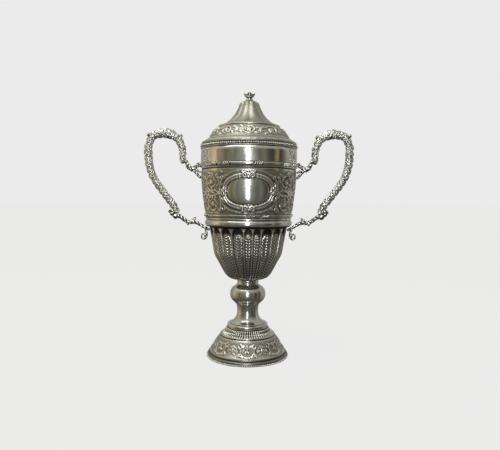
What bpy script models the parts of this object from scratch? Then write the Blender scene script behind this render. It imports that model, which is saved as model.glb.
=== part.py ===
"""Two-handled covered presentation cup in silver, on a hollow domed foot.

Metres, +Z up, front towards -Y. The origin is on the cup's axis, at the plane that the foot rests on.
Angles round the cup are given from the front, in degrees, positive towards +X.
"""

import math

import bmesh
import bpy
from mathutils import Vector

# The gap at every solder joint, and the neck's wall
GAP = 0.0003
WALL = 0.0016

# Foot, from the resting plane up, with a wreath of lobes round its dome
FOOT_HEIGHT = 0.0565
FOOT_BORE = 0.0125
FOOT_STEPS = 28
FOOT_WREATH = 7
FOOT_DOME = (0.0120, 0.0360)
FOOT_BELLY = (0.0200, 0.0300)
FOOT_SWELL = 0.012
FOOT_DIP = 0.016

# Stem
STEM_TOP = 0.1316
STEM_STEPS = 18
STEM_BORE = 0.0125

# Body of the cup
BODY_BOTTOM = STEM_TOP + GAP
RIM_HEIGHT = 0.3580
RIM_RADIUS = 0.0836
BODY_STEPS = 28
CAVITY_STEPS = 20
FRIEZE_TOP = 0.3205
FRIEZE_BOTTOM = 0.2460
UNDERCUT = 0.2240

# The bowl has narrow ribs between feathered panels. The two panels at the front are narrower than the rest.
PANELS = 20
NARROW_PANELS = 2
NARROW_WIDTH = 12.8
FIRST_RIB = -6.3
PANEL_DEPTH = 0.0026
FEATHER_RISE = 0.0016
PANEL_FOOT = 0.1348
PANEL_KNEE = 0.1500
FEATHER_TOP = 0.2050
POCKET_SILL = 0.2110
POCKET_TOP = 0.2165

# Cartouche and scrolls on the frieze, repeated at the back. Half sizes are (degrees round the cup, height).
CARTOUCHE_Z = 0.2820
BOSS_HALF = (23.8, 0.0214)
BOSS_RISE = 0.0028
STRAP_HALF = (29.8, 0.0271)
STRAP_WIDTH = 0.0054
STRAP_RISE = 0.0026
STRAP_PINCH = 0.93
STRAP_BOW = 0.10
CLASP_HALF = (4.6, 0.0036)
CLASP_RISE = 0.0038
KNOT_HALF = (2.9, 0.0044)
KNOT_RISE = 0.0036
SCROLL_ANGLE = 48.5
SCROLL_OFFSET = 0.0175
SCROLL_HALF = (11.5, 0.0148)
SCROLL_TURNS = 1.05
SCROLL_START = -105.0
SCROLL_COIL = 0.52
SCROLL_WIDTH = 0.0044
SCROLL_RISE = 0.0021
FLOWER_HALF = (4.3, 0.0053)
FLOWER_RISE = 0.0024

# Lid, with flutes on its cone and a wreath of lobes round its band
LID_BOTTOM = 0.3583
LID_STEPS = 30
LID_WALL = 0.0016
BEZEL_RADIUS = 0.0805
BEZEL_DEPTH = 0.0080
LID_TOP = 0.4425
LID_FLUTES = 10
FLUTE_FOOT = 0.4000
FLUTE_WAIST = 0.4150
FLUTE_DEEP = 0.11
FLUTE_SHALLOW = 0.06
LID_WREATH = 10
WREATH_SPAN = (0.3740, 0.3930)
WREATH_MIDDLE = 0.3840
WREATH_SWELL = 0.012
WREATH_DIP = 0.010

# Finial
FINIAL_BOTTOM = LID_TOP + GAP
FINIAL_PETALS = 4
FINIAL_STEPS = 16
PETAL_FOOT = 0.4530
PETAL_REACH = 0.0106
PETAL_NOTCH = 0.22
PETAL_DROOP = 0.0030

# Leaves and buds on a handle: stations of (x, z, half width in the handle's plane, half depth), and sides
HANDLE_LEAVES = {
    "bud": (
        [
            (0.1215, 0.3740, 0.0030, 0.0032),
            (0.1195, 0.3800, 0.0034, 0.0034),
            (0.1185, 0.3845, 0.0018, 0.0018),
        ],
        5,
    ),
    "rosette": (
        [
            (0.1412, 0.3850, 0.0066, 0.0080),
            (0.1410, 0.3800, 0.0068, 0.0068),
            (0.1409, 0.3757, 0.0036, 0.0036),
        ],
        6,
    ),
    "knuckle": (
        [
            (0.1318, 0.2500, 0.0040, 0.0046),
            (0.1338, 0.2450, 0.0040, 0.0042),
            (0.1338, 0.2410, 0.0020, 0.0022),
        ],
        5,
    ),
    "hanging": (
        [
            (0.1262, 0.2460, 0.0054, 0.0050),
            (0.1274, 0.2402, 0.0064, 0.0056),
            (0.1277, 0.2354, 0.0030, 0.0030),
        ],
        6,
    ),
    "upper_sprout": (
        [
            (0.0952, 0.2315, 0.0030, 0.0024),
            (0.0940, 0.2362, 0.0024, 0.0020),
            (0.0920, 0.2398, 0.0011, 0.0011),
        ],
        4,
    ),
    "lower_sprout": (
        [
            (0.1062, 0.2325, 0.0028, 0.0022),
            (0.1057, 0.2280, 0.0020, 0.0018),
            (0.1051, 0.2248, 0.0009, 0.0009),
        ],
        4,
    ),
    "upper_strut": (
        [
            (0.0945, 0.3256, 0.0022, 0.0026),
            (0.0880, 0.3284, 0.0019, 0.0028),
            (0.0812, 0.3306, 0.0019, 0.0030),
        ],
        4,
    ),
    "lower_strut": (
        [
            (0.0950, 0.3236, 0.0022, 0.0024),
            (0.0872, 0.3194, 0.0019, 0.0028),
            (0.0800, 0.3156, 0.0019, 0.0030),
        ],
        4,
    ),
}

SILVER = (0.62, 0.60, 0.56, 1.0)


def clear_scene():
    for obj in list(bpy.data.objects):
        bpy.data.objects.remove(obj, do_unlink=True)


def make_collection(name):
    collection = bpy.data.collections.new(name)
    bpy.context.scene.collection.children.link(collection)
    return collection


def silver(name, roughness):
    material = bpy.data.materials.new(name)
    material.use_nodes = True
    shader = material.node_tree.nodes["Principled BSDF"]
    shader.inputs["Base Color"].default_value = SILVER
    shader.inputs["Metallic"].default_value = 1.0
    shader.inputs["Roughness"].default_value = roughness
    return material


def between(p, q, r, s, t):
    """The value of a smooth curve at the share t of the way from q to r, with p before them and s after."""
    bend = 2 * p - 5 * q + 4 * r - s
    twist = 3 * q - p - 3 * r + s
    return 0.5 * (2 * q + (r - p) * t + bend * t**2 + twist * t**3)


def smooth_curve(points, spans):
    """A smooth curve through the points, with that many spans between each two."""
    ends = [points[0]] + list(points) + [points[-1]]
    curve = []
    for four in zip(ends, ends[1:], ends[2:], ends[3:]):
        for step in range(spans):
            curve.append(tuple(between(*values, step / spans) for values in zip(*four)))
    return curve + [tuple(points[-1])]


def arc(centre, radii, start, end, spans):
    """Points on an ellipse's arc in the (radius, height) plane, with angles in degrees."""
    points = []
    for step in range(spans + 1):
        angle = math.radians(start + (end - start) * step / spans)
        across = radii[0] * math.cos(angle)
        points.append((centre[0] + across, centre[1] + radii[1] * math.sin(angle)))
    return points


def new_object(name, mesh, collection, material=None):
    obj = bpy.data.objects.new(name, mesh)
    collection.objects.link(obj)
    if material:
        mesh.materials.append(material)
    return obj


def turned(name, outline, steps, collection, material=None, loop=False):
    """A solid turned about Z from an outline that runs down its outer side."""
    edges = [(i, i + 1) for i in range(len(outline) - 1)]
    if loop:
        edges.append((len(outline) - 1, 0))
    mesh = bpy.data.meshes.new(name)
    mesh.from_pydata([(radius, 0.0, height) for radius, height in outline], edges, [])
    obj = new_object(name, mesh, collection, material)
    screw = obj.modifiers.new("Turn", "SCREW")
    screw.steps = steps
    screw.render_steps = steps
    screw.use_merge_vertices = True
    screw.merge_threshold = 0.00001
    return obj


def freeze(obj):
    """Replaces the object's mesh by its evaluated one."""
    graph = bpy.context.evaluated_depsgraph_get()
    mesh = bpy.data.meshes.new_from_object(obj.evaluated_get(graph))
    obj.modifiers.clear()
    obj.data = mesh
    return obj


def hide(obj):
    obj.hide_render = True
    obj.display_type = "WIRE"


def boolean(obj, name, operation, other=None, collection=None):
    modifier = obj.modifiers.new(name, "BOOLEAN")
    modifier.operation = operation
    modifier.solver = "EXACT"
    if collection:
        modifier.operand_type = "COLLECTION"
        modifier.collection = collection
    else:
        modifier.object = other
    return modifier


def shade(obj, angle=40.0):
    obj.data.shade_smooth()
    obj.data.set_sharp_from_angle(angle=math.radians(angle))


def from_front(degrees):
    """The angle about Z, in radians, of a place given in degrees from the front."""
    return math.radians(degrees - 90.0)


def foot_outline():
    step = [(FOOT_BORE, FOOT_HEIGHT), (0.0322, FOOT_HEIGHT), (0.0351, 0.0535), (0.0350, 0.0498)]
    fluted = [(0.0365, 0.0480), (0.0400, 0.0425), (0.0473, 0.0385), (0.0470, 0.0376)]
    dome = [(0.0504, 0.0330), (0.0553, 0.0250), (0.0598, 0.0170), (0.0660, 0.0098)]
    rim = [(0.0657, 0.0086), (0.0667, 0.0068), (0.0688, 0.0062), (0.0702, 0.0030), (0.0693, 0.0)]
    return step + fluted + dome + rim


def foot_inside():
    """The hollow's outline from the resting edge up to the bore."""
    edge = [(0.0668, 0.0), (0.0648, 0.0045), (0.0598, 0.0085)]
    return edge + [(0.0478, 0.0310), (0.0335, 0.0440), (0.0325, 0.0530), (FOOT_BORE, 0.0541)]


def stem_outline():
    collar = [(0.0186, STEM_TOP), (0.0186, 0.1240), (0.0216, 0.1222)]
    knop = [(0.0284, 0.1155), (0.0304, 0.1115), (0.0308, 0.1060), (0.0294, 0.0990), (0.0258, 0.0945)]
    waist = [(0.0224, 0.0918), (0.0196, 0.0880), (0.0182, 0.0790), (0.0190, 0.0705), (0.0230, 0.0628)]
    return collar + knop + waist + [(0.0286, 0.0582), (0.0310, FOOT_HEIGHT + GAP)]


def stem_inside():
    bottom = FOOT_HEIGHT + GAP
    return [(STEM_BORE, bottom), (STEM_BORE, 0.1290), (0.0, 0.1300)]


def body_outline():
    """The outer side of the neck, frieze and mouldings, from the rim to the undercut."""
    upper_reed = arc((0.0834, 0.3282), (0.0016, 0.0026), 80, -80, 2)
    groove = [(0.0826, 0.3230)]
    frieze = [(0.0830, FRIEZE_TOP), (0.0821, 0.3030), (0.0752, FRIEZE_BOTTOM)]
    lower_reed = [(0.0760, 0.2432), (0.0748, 0.2402), (0.0745, 0.2376)]
    torus = arc((0.0702, 0.2306), (0.0056, 0.0062), 35, -75, 3)
    neck = [(RIM_RADIUS, RIM_HEIGHT), (RIM_RADIUS, 0.3315)]
    return neck + upper_reed + groove + frieze + lower_reed + torus


def bowl_outline():
    """The crest of the bowl's ribs, from the undercut to the stem."""
    arches = [(0.0674, UNDERCUT + 0.0015), (0.0664, 0.2180), (0.0656, 0.2125), (0.0650, 0.2070)]
    feathers = [(0.0592, 0.1765), (0.0440, 0.1478), (0.0380, 0.1398), (0.0325, PANEL_FOOT)]
    return arches + feathers + [(0.0188, BODY_BOTTOM)]


def radius_at(outline, height):
    """The outline's radius at a height, read along its outer side."""
    for (r0, z0), (r1, z1) in zip(outline, outline[1:]):
        if min(z0, z1) <= height <= max(z0, z1) and z0 != z1:
            return r0 + (r1 - r0) * (height - z0) / (z1 - z0)
    return outline[-1][0]


def rib_angles():
    """The ribs' places round the bowl, in degrees from the front."""
    regular = (360.0 - NARROW_PANELS * NARROW_WIDTH) / (PANELS - NARROW_PANELS)
    angles = [FIRST_RIB]
    for panel in range(PANELS - 1):
        angles.append(angles[-1] + (NARROW_WIDTH if panel < NARROW_PANELS else regular))
    return angles


def panel_recess(across, height):
    """How far a panel lies inside the rib crests; across runs from 0 at one rib to 1 at the next."""
    if across == 0.0 or not PANEL_FOOT < height < POCKET_TOP:
        return 0.0
    middle = across == 0.5
    if height > POCKET_SILL:
        return PANEL_DEPTH * (1.25 if middle else 0.4)
    depth = PANEL_DEPTH if height > PANEL_KNEE else 0.55 * PANEL_DEPTH
    return depth - (FEATHER_RISE if middle and height < FEATHER_TOP else 0.0)


def make_bowl(collection):
    """The panelled bowl: each panel has four columns, a rib, a hollow, a feather's spine and a hollow."""
    shares = (0.0, 0.26, 0.5, 0.74)
    outline = bowl_outline()
    columns = []
    ribs = rib_angles() + [FIRST_RIB + 360.0]
    for left, right in zip(ribs, ribs[1:]):
        columns += [(left + (right - left) * share, share) for share in shares]
    work = bmesh.new()
    rings = []
    for radius, height in outline:
        ring = []
        for degrees, across in columns:
            angle = from_front(degrees)
            out = radius - panel_recess(across, height)
            ring.append(work.verts.new((out * math.cos(angle), out * math.sin(angle), height)))
        rings.append(ring)
    for upper, lower in zip(rings, rings[1:]):
        for i in range(len(columns)):
            j = (i + 1) % len(columns)
            work.faces.new((upper[i], lower[i], lower[j], upper[j]))
    work.faces.new(rings[0])
    work.faces.new(list(reversed(rings[-1])))
    mesh = bpy.data.meshes.new("bowl_form")
    work.to_mesh(mesh)
    work.free()
    bowl = new_object("bowl_form", mesh, collection)
    shade(bowl)
    return bowl


def on_frieze(degrees, height, out):
    """A point that far outside the frieze's surface."""
    radius = radius_at(body_outline(), height) + out
    angle = from_front(degrees)
    return Vector((radius * math.cos(angle), radius * math.sin(angle), height))


def ribbon(name, path, width, rise, collection, closed=False, taper=1.0):
    """A raised strap along (degrees, height) points on the frieze, sunk a little into the wall."""
    sunk = 0.0009
    work = bmesh.new()
    rings = []
    count = len(path)
    for i, (degrees, height) in enumerate(path):
        before = path[(i - 1) % count] if closed or i > 0 else path[i]
        after = path[(i + 1) % count] if closed or i < count - 1 else path[i]
        here = on_frieze(degrees, height, 0.0)
        along = (on_frieze(*after, 0.0) - on_frieze(*before, 0.0)).normalized()
        outward = Vector((here.x, here.y, 0.0)).normalized()
        side = outward.cross(along).normalized()
        scale = taper + (1.0 - taper) * (1.0 - i / (count - 1)) if not closed else 1.0
        half = 0.5 * width * scale
        section = ((-half, -sunk), (half, -sunk), (0.0, rise * scale))
        rings.append([work.verts.new(here + side * across + outward * out) for across, out in section])
    pairs = list(zip(rings, rings[1:]))
    if closed:
        pairs.append((rings[-1], rings[0]))
    for first, second in pairs:
        for k in range(3):
            m = (k + 1) % 3
            work.faces.new((first[k], first[m], second[m], second[k]))
    if not closed:
        work.faces.new(list(reversed(rings[0])))
        work.faces.new(rings[-1])
    bmesh.ops.recalc_face_normals(work, faces=work.faces)
    mesh = bpy.data.meshes.new(name)
    work.to_mesh(mesh)
    work.free()
    return new_object(name, mesh, collection)


def dome(name, centre, half, rise, sides, rows, collection, petals=0):
    """A raised oval boss on the frieze, or a flower head where petals are given."""
    sunk = 0.0012
    work = bmesh.new()
    rings = []
    for row in range(rows + 1):
        lift = math.radians(90.0 * row / (rows + 0.6))
        spread, out = math.cos(lift), rise * math.sin(lift)
        ring = []
        for k in range(sides):
            turn = 2.0 * math.pi * k / sides
            reach = spread * (0.80 if petals and k % 2 else 1.0)
            across = half[0] * reach * math.cos(turn)
            up = half[1] * reach * math.sin(turn)
            ring.append(work.verts.new(on_frieze(centre[0] + across, centre[1] + up, out if row else -sunk)))
        rings.append(ring)
    for lower, upper in zip(rings, rings[1:]):
        for k in range(sides):
            m = (k + 1) % sides
            work.faces.new((lower[k], lower[m], upper[m], upper[k]))
    top = work.verts.new(on_frieze(*centre, rise * (0.55 if petals else 1.02)))
    base = work.verts.new(on_frieze(*centre, -sunk - 0.0008))
    for k in range(sides):
        m = (k + 1) % sides
        work.faces.new((rings[-1][k], rings[-1][m], top))
        work.faces.new((rings[0][m], rings[0][k], base))
    bmesh.ops.recalc_face_normals(work, faces=work.faces)
    mesh = bpy.data.meshes.new(name)
    work.to_mesh(mesh)
    work.free()
    return new_object(name, mesh, collection)


def strap_path(face, points):
    """The strap frame: four bows that pinch in at the top, the bottom and both sides."""
    path = []
    for i in range(points):
        turn = 2.0 * math.pi * i / points
        bow = STRAP_PINCH + STRAP_BOW * abs(math.sin(2.0 * turn)) ** 0.8
        across = STRAP_HALF[0] * bow * math.cos(turn)
        path.append((face + across, CARTOUCHE_Z + STRAP_HALF[1] * bow * math.sin(turn)))
    return path


def scroll_path(face, side, up, points):
    """A scroll that springs from the strap's side clasp and coils in round its flower."""
    centre = (SCROLL_ANGLE, CARTOUCHE_Z + up * SCROLL_OFFSET)
    path = [(face + side * (STRAP_HALF[0] + 4.0), CARTOUCHE_Z + up * 0.0012)]
    for i in range(points):
        share = i / (points - 1)
        turn = math.radians(SCROLL_START + 360.0 * SCROLL_TURNS * share)
        reach = 1.0 - SCROLL_COIL * share
        across = centre[0] + SCROLL_HALF[0] * reach * math.cos(turn)
        path.append((face + side * across, centre[1] + up * SCROLL_HALF[1] * reach * math.sin(turn)))
    return path


def make_relief(collection):
    """Cartouche and foliate scrolls, at the front and, without their small bosses, at the back."""
    ends = ((1, "top"), (-1, "bottom"))
    hands = ((1, "right"), (-1, "left"))
    for face, label in ((0.0, "front"), (180.0, "back")):
        dome(f"boss_{label}", (face, CARTOUCHE_Z), BOSS_HALF, BOSS_RISE, 14, 2, collection)
        ribbon(f"strap_{label}", strap_path(face, 20), STRAP_WIDTH, STRAP_RISE, collection, closed=True)
        for side, hand in hands:
            for up, end in ends:
                path = scroll_path(face, side, up, 9)
                name = f"scroll_{label}_{hand}_{end}"
                ribbon(name, path, SCROLL_WIDTH, SCROLL_RISE, collection, taper=0.6)
    for up, end in ends:
        clasp = (0.0, CARTOUCHE_Z + up * STRAP_HALF[1] * 0.95)
        dome(f"clasp_{end}", clasp, CLASP_HALF, CLASP_RISE, 6, 1, collection, petals=3)
        for side, hand in hands:
            flower = (side * SCROLL_ANGLE, CARTOUCHE_Z + up * SCROLL_OFFSET)
            dome(f"flower_{hand}_{end}", flower, FLOWER_HALF, FLOWER_RISE, 6, 1, collection, petals=3)
    for side, hand in hands:
        knot = (side * STRAP_HALF[0] * 0.97, CARTOUCHE_Z)
        dome(f"knot_{hand}", knot, KNOT_HALF, KNOT_RISE, 5, 1, collection)


def cavity_outline():
    """The inside of the cup, and on past the rim so that it cuts the mouth open."""
    inside = RIM_RADIUS - WALL
    past_rim = RIM_HEIGHT + 0.01
    neck = [(0.0, past_rim), (inside, past_rim), (inside, 0.3300), (0.0800, 0.3050), (0.0716, 0.2320)]
    bowl = [(0.0645, 0.2240), (0.0612, 0.2120), (0.0560, 0.1780), (0.0425, 0.1530), (0.0366, 0.1440)]
    return neck + bowl + [(0.0290, 0.1376), (0.0, 0.1348)]


def make_body(collection, helpers, material):
    outline = [(0.0, RIM_HEIGHT)] + body_outline() + [(0.0675, UNDERCUT), (0.0, UNDERCUT)]
    body = turned("cup_body", outline, BODY_STEPS, collection, material)
    freeze(body)
    shade(body)
    bowl = make_bowl(helpers)
    relief = make_collection("relief")
    make_relief(relief)
    cavity = freeze(turned("cavity", cavity_outline(), CAVITY_STEPS, helpers))
    boolean(body, "Join bowl", "UNION", bowl)
    boolean(body, "Join relief", "UNION", collection=relief)
    boolean(body, "Hollow", "DIFFERENCE", cavity)
    for obj in [bowl, cavity, *relief.objects]:
        hide(obj)
    return body


def make_foot(collection, material):
    foot = turned("foot", foot_outline() + foot_inside(), FOOT_STEPS, collection, material, loop=True)
    freeze(foot)
    carve(foot, foot_inside(), foot_carving)
    shade(foot)
    return foot


def make_stem(collection, material):
    outline = [(0.0, STEM_TOP)] + stem_outline() + stem_inside()
    stem = turned("stem", outline, STEM_STEPS, collection, material)
    freeze(stem)
    shade(stem)
    return stem


def lid_outline():
    cap = [(0.0088, 0.4424), (0.0150, 0.4402), (0.0182, 0.4352)]
    cone = [(0.0208, 0.4280), (0.0271, 0.4175), (0.0353, 0.4085), (0.0462, 0.4015)]
    lip = [(0.0533, 0.3984), (0.0541, 0.3972), (0.0533, 0.3958)]
    band = [(0.0580, 0.3922), (0.0640, 0.3856), (0.0685, 0.3796)]
    flange = [(0.0812, 0.3680), (0.0842, 0.3655), (0.0852, 0.3615), (0.0842, LID_BOTTOM)]
    return cap + cone + lip + band + flange


def lid_inside():
    """From the bearing face in and down round the bezel, then up inside the dome."""
    foot = LID_BOTTOM - BEZEL_DEPTH
    inner = BEZEL_RADIUS - LID_WALL
    bezel = [(BEZEL_RADIUS, LID_BOTTOM), (BEZEL_RADIUS, foot), (inner, foot), (inner, 0.3640)]
    dome = [(0.0650, 0.3765), (0.0560, 0.3880), (0.0300, 0.4065), (0.0208, 0.4170)]
    return bezel + dome + [(0.0152, 0.4290), (0.0, 0.4395)]


def lid_carving(degrees, height):
    """The share of the radius that is left by the cone's flutes and by the wreath of lobes on the band."""
    if FLUTE_FOOT < height < LID_TOP:
        wave = 0.5 - 0.5 * math.cos(math.radians(degrees * LID_FLUTES))
        return 1.0 - (FLUTE_DEEP if height > FLUTE_WAIST else FLUTE_SHALLOW) * wave
    if WREATH_SPAN[0] < height < WREATH_SPAN[1]:
        wave = math.cos(math.radians(degrees * LID_WREATH))
        return 1.0 + (WREATH_SWELL if height > WREATH_MIDDLE else -WREATH_DIP) * wave
    return 1.0


def foot_carving(degrees, height):
    """The share of the radius that the foot's wreath leaves on its dome."""
    if not FOOT_DOME[0] < height < FOOT_DOME[1]:
        return 1.0
    wave = math.cos(math.radians(degrees * FOOT_WREATH))
    return 1.0 + (-FOOT_DIP if FOOT_BELLY[0] < height < FOOT_BELLY[1] else FOOT_SWELL) * wave


def carve(obj, inner, carving):
    """Moves the outer side's points in or out by the carving's share of their radius."""
    for vertex in obj.data.vertices:
        place = vertex.co
        radius = math.hypot(place.x, place.y)
        is_inner = any(abs(radius - r) < 0.0001 and abs(place.z - z) < 0.0001 for r, z in inner)
        if radius > 0.001 and not is_inner:
            share = carving(math.degrees(math.atan2(place.y, place.x)), place.z)
            place.x *= share
            place.y *= share


def make_lid(collection, material):
    lid = turned("lid", [(0.0, LID_TOP)] + lid_outline() + lid_inside(), LID_STEPS, collection, material)
    freeze(lid)
    carve(lid, lid_inside(), lid_carving)
    shade(lid)
    return lid


def make_finial(collection, material):
    """A small open flower on a ringed neck."""
    ring = arc((0.0040, FINIAL_BOTTOM + 0.0018), (0.0024, 0.0018), 75, -90, 3)
    petals = [(0.0, 0.4520), (0.0058, 0.4540), (0.0096, 0.4568), (PETAL_REACH, 0.4562)]
    neck = [(0.0090, 0.4522), (0.0062, 0.4494), (0.0047, 0.4478)]
    outline = petals + neck + ring + [(0.0, ring[-1][1])]
    finial = turned("finial", outline, FINIAL_STEPS, collection, material)
    freeze(finial)
    for vertex in finial.data.vertices:
        place = vertex.co
        if place.z > PETAL_FOOT:
            wave = 0.5 + 0.5 * math.cos(math.atan2(place.y, place.x) * FINIAL_PETALS)
            place.z -= PETAL_DROOP * (1.0 - wave) * math.hypot(place.x, place.y) / PETAL_REACH
            place.x *= 1.0 - PETAL_NOTCH * (1.0 - wave)
            place.y *= 1.0 - PETAL_NOTCH * (1.0 - wave)
    shade(finial)
    return finial


def lofted(name, stations, collection, sides=8):
    """A closed solid along the plane y = 0 from stations of (x, z, half width in the plane, half depth)."""
    work = bmesh.new()
    rings = []
    for i, (x, z, half, depth) in enumerate(stations):
        before = stations[max(i - 1, 0)]
        after = stations[min(i + 1, len(stations) - 1)]
        along = Vector((after[0] - before[0], 0.0, after[1] - before[1])).normalized()
        side = Vector((-along.z, 0.0, along.x))
        ring = []
        for k in range(sides):
            turn = 2.0 * math.pi * (k + 0.5) / sides
            offset = side * (half * math.cos(turn)) + Vector((0.0, depth * math.sin(turn), 0.0))
            ring.append(work.verts.new(Vector((x, 0.0, z)) + offset))
        rings.append(ring)
    for first, second in zip(rings, rings[1:]):
        for k in range(sides):
            m = (k + 1) % sides
            work.faces.new((first[k], first[m], second[m], second[k]))
    work.faces.new(list(reversed(rings[0])))
    work.faces.new(rings[-1])
    bmesh.ops.recalc_face_normals(work, faces=work.faces)
    mesh = bpy.data.meshes.new(name)
    work.to_mesh(mesh)
    work.free()
    return new_object(name, mesh, collection)


def handle_pieces(collection):
    """The members of one handle on the +X side, to be fused as one casting."""
    arm = smooth_curve(
        [
            (0.1174, 0.3325, 0.0036, 0.0034),
            (0.1158, 0.3405, 0.0058, 0.0052),
            (0.1175, 0.3610, 0.0070, 0.0058),
            (0.1262, 0.3770, 0.0078, 0.0062),
            (0.1400, 0.3845, 0.0096, 0.0076),
            (0.1520, 0.3852, 0.0092, 0.0072),
            (0.1680, 0.3800, 0.0078, 0.0064),
            (0.1757, 0.3630, 0.0080, 0.0060),
            (0.1757, 0.3490, 0.0088, 0.0060),
            (0.1745, 0.3330, 0.0080, 0.0058),
            (0.1669, 0.3090, 0.0072, 0.0054),
            (0.1490, 0.2830, 0.0071, 0.0052),
            (0.1305, 0.2590, 0.0072, 0.0051),
            (0.1245, 0.2440, 0.0054, 0.0044),
        ],
        2,
    )
    swell = [(x, z, half * (1.05 if i % 2 else 0.95), depth) for i, (x, z, half, depth) in enumerate(arm)]
    twig = smooth_curve(
        [
            (0.1255, 0.2450, 0.0038, 0.0036),
            (0.1205, 0.2405, 0.0044, 0.0038),
            (0.1105, 0.2337, 0.0042, 0.0034),
            (0.1040, 0.2306, 0.0039, 0.0032),
            (0.0973, 0.2308, 0.0041, 0.0032),
            (0.0909, 0.2300, 0.0038, 0.0030),
            (0.0821, 0.2252, 0.0032, 0.0028),
            (0.0777, 0.2221, 0.0029, 0.0028),
            (0.0720, 0.2192, 0.0027, 0.0030),
            (0.0640, 0.2155, 0.0025, 0.0032),
        ],
        1,
    )
    curl = smooth_curve(
        [
            (0.0785, 0.2226, 0.0016, 0.0022),
            (0.0741, 0.2156, 0.0019, 0.0026),
            (0.0725, 0.2100, 0.0019, 0.0026),
            (0.0737, 0.2042, 0.0019, 0.0026),
            (0.0777, 0.2014, 0.0018, 0.0026),
            (0.0813, 0.2040, 0.0017, 0.0024),
            (0.0813, 0.2083, 0.0015, 0.0022),
            (0.0785, 0.2103, 0.0013, 0.0020),
        ],
        1,
    )
    bracket = smooth_curve(
        [
            (0.1106, 0.3422, 0.0020, 0.0022),
            (0.1084, 0.3330, 0.0036, 0.0030),
            (0.1046, 0.3264, 0.0047, 0.0034),
            (0.0990, 0.3236, 0.0048, 0.0034),
            (0.0945, 0.3258, 0.0040, 0.0034),
            (0.0890, 0.3315, 0.0029, 0.0036),
            (0.0808, 0.3360, 0.0028, 0.0040),
        ],
        1,
    )
    prop = smooth_curve(
        [
            (0.0985, 0.3240, 0.0024, 0.0026),
            (0.0920, 0.3166, 0.0027, 0.0028),
            (0.0865, 0.3103, 0.0027, 0.0034),
            (0.0800, 0.3042, 0.0027, 0.0036),
        ],
        1,
    )
    volute = smooth_curve(
        [
            (0.1600, 0.3812, 0.0038, 0.0038),
            (0.1680, 0.3800, 0.0040, 0.0038),
            (0.1735, 0.3810, 0.0038, 0.0036),
            (0.1768, 0.3840, 0.0033, 0.0032),
            (0.1778, 0.3870, 0.0020, 0.0024),
        ],
        1,
    )
    members = {"arm": (swell, 6), "twig": (twig, 5), "curl": (curl, 4), "bracket": (bracket, 5)}
    members |= {"prop": (prop, 4), "volute": (volute, 5)} | HANDLE_LEAVES
    return [lofted(name, stations, collection, sides) for name, (stations, sides) in members.items()]


def make_handles(collection, helpers, material):
    """Two castings from one pattern, cut to the body's curve with a gap."""
    fusing = make_collection("handle_members")
    members = handle_pieces(fusing)
    arm = members[0]
    fusing.objects.unlink(arm)
    helpers.objects.link(arm)
    beside = [(r + GAP, z) for r, z in body_outline() + bowl_outline()[1:-2]]
    clearance = [(0.0, RIM_HEIGHT)] + beside + [(0.0, beside[-1][1])]
    cutter = freeze(turned("body_clearance", clearance, BODY_STEPS, helpers))
    boolean(arm, "Fuse members", "UNION", collection=fusing)
    boolean(arm, "Fit to body", "DIFFERENCE", cutter)
    for obj in members[1:] + [cutter]:
        hide(obj)
    graph = bpy.context.evaluated_depsgraph_get()
    mesh = bpy.data.meshes.new_from_object(arm.evaluated_get(graph))
    mesh.name = "handle"
    hide(arm)
    for name, turn in (("handle_right", 0.0), ("handle_left", math.pi)):
        handle = new_object(name, mesh, collection)
        handle.rotation_euler.z = turn
    mesh.materials.append(material)
    mesh.shade_smooth()
    mesh.set_sharp_from_angle(angle=math.radians(50.0))


def main():
    clear_scene()
    cup = make_collection("presentation_cup")
    helpers = make_collection("cutters")
    make_foot(cup, silver("foot silver", 0.28))
    make_stem(cup, silver("stem silver", 0.20))
    make_body(cup, helpers, silver("body silver", 0.26))
    make_handles(cup, helpers, silver("handle silver", 0.30))
    make_lid(cup, silver("lid silver", 0.28))
    make_finial(cup, silver("finial silver", 0.24))


main()
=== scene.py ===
"""A two-handled covered presentation cup in chased silver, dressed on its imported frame.

Metres, +Z up, front towards -Y. Places round the cup are degrees from the front, positive towards +X.
"""

import logging
import math
from dataclasses import dataclass, field
from enum import Enum
from typing import Callable, Sequence

import bpy
import numpy as np
from mathutils import Matrix, Vector


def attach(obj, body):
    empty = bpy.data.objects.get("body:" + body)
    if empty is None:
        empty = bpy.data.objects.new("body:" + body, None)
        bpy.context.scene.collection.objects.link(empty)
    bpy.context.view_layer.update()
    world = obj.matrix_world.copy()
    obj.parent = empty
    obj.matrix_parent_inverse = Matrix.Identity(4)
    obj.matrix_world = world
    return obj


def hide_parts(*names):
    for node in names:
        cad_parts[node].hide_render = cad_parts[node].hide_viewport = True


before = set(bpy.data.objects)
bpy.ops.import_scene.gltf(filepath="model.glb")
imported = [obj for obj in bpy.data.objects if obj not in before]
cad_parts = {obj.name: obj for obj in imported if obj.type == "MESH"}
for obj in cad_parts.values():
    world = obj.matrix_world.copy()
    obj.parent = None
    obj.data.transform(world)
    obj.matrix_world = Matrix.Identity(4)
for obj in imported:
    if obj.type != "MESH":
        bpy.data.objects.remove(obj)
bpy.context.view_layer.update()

LOG = logging.getLogger("cup")
BODY = "root"
SEED = 1871
Array = np.ndarray
Colour = tuple[float, float, float]
Place = tuple[Vector, Matrix]
Lines = tuple[tuple[float, float], ...]


class Slot(Enum):
    """The record's material slots."""

    FOOT = "foot_silver"
    STEM = "stem_silver"
    BODY = "body_silver"
    HANDLE = "handle_silver"
    LID = "lid_silver"
    FINIAL = "finial_silver"


class Hand(Enum):
    """The side that a handle is on, as its turn about the cup's axis in degrees."""

    RIGHT = 0.0
    LEFT = 180.0


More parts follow.
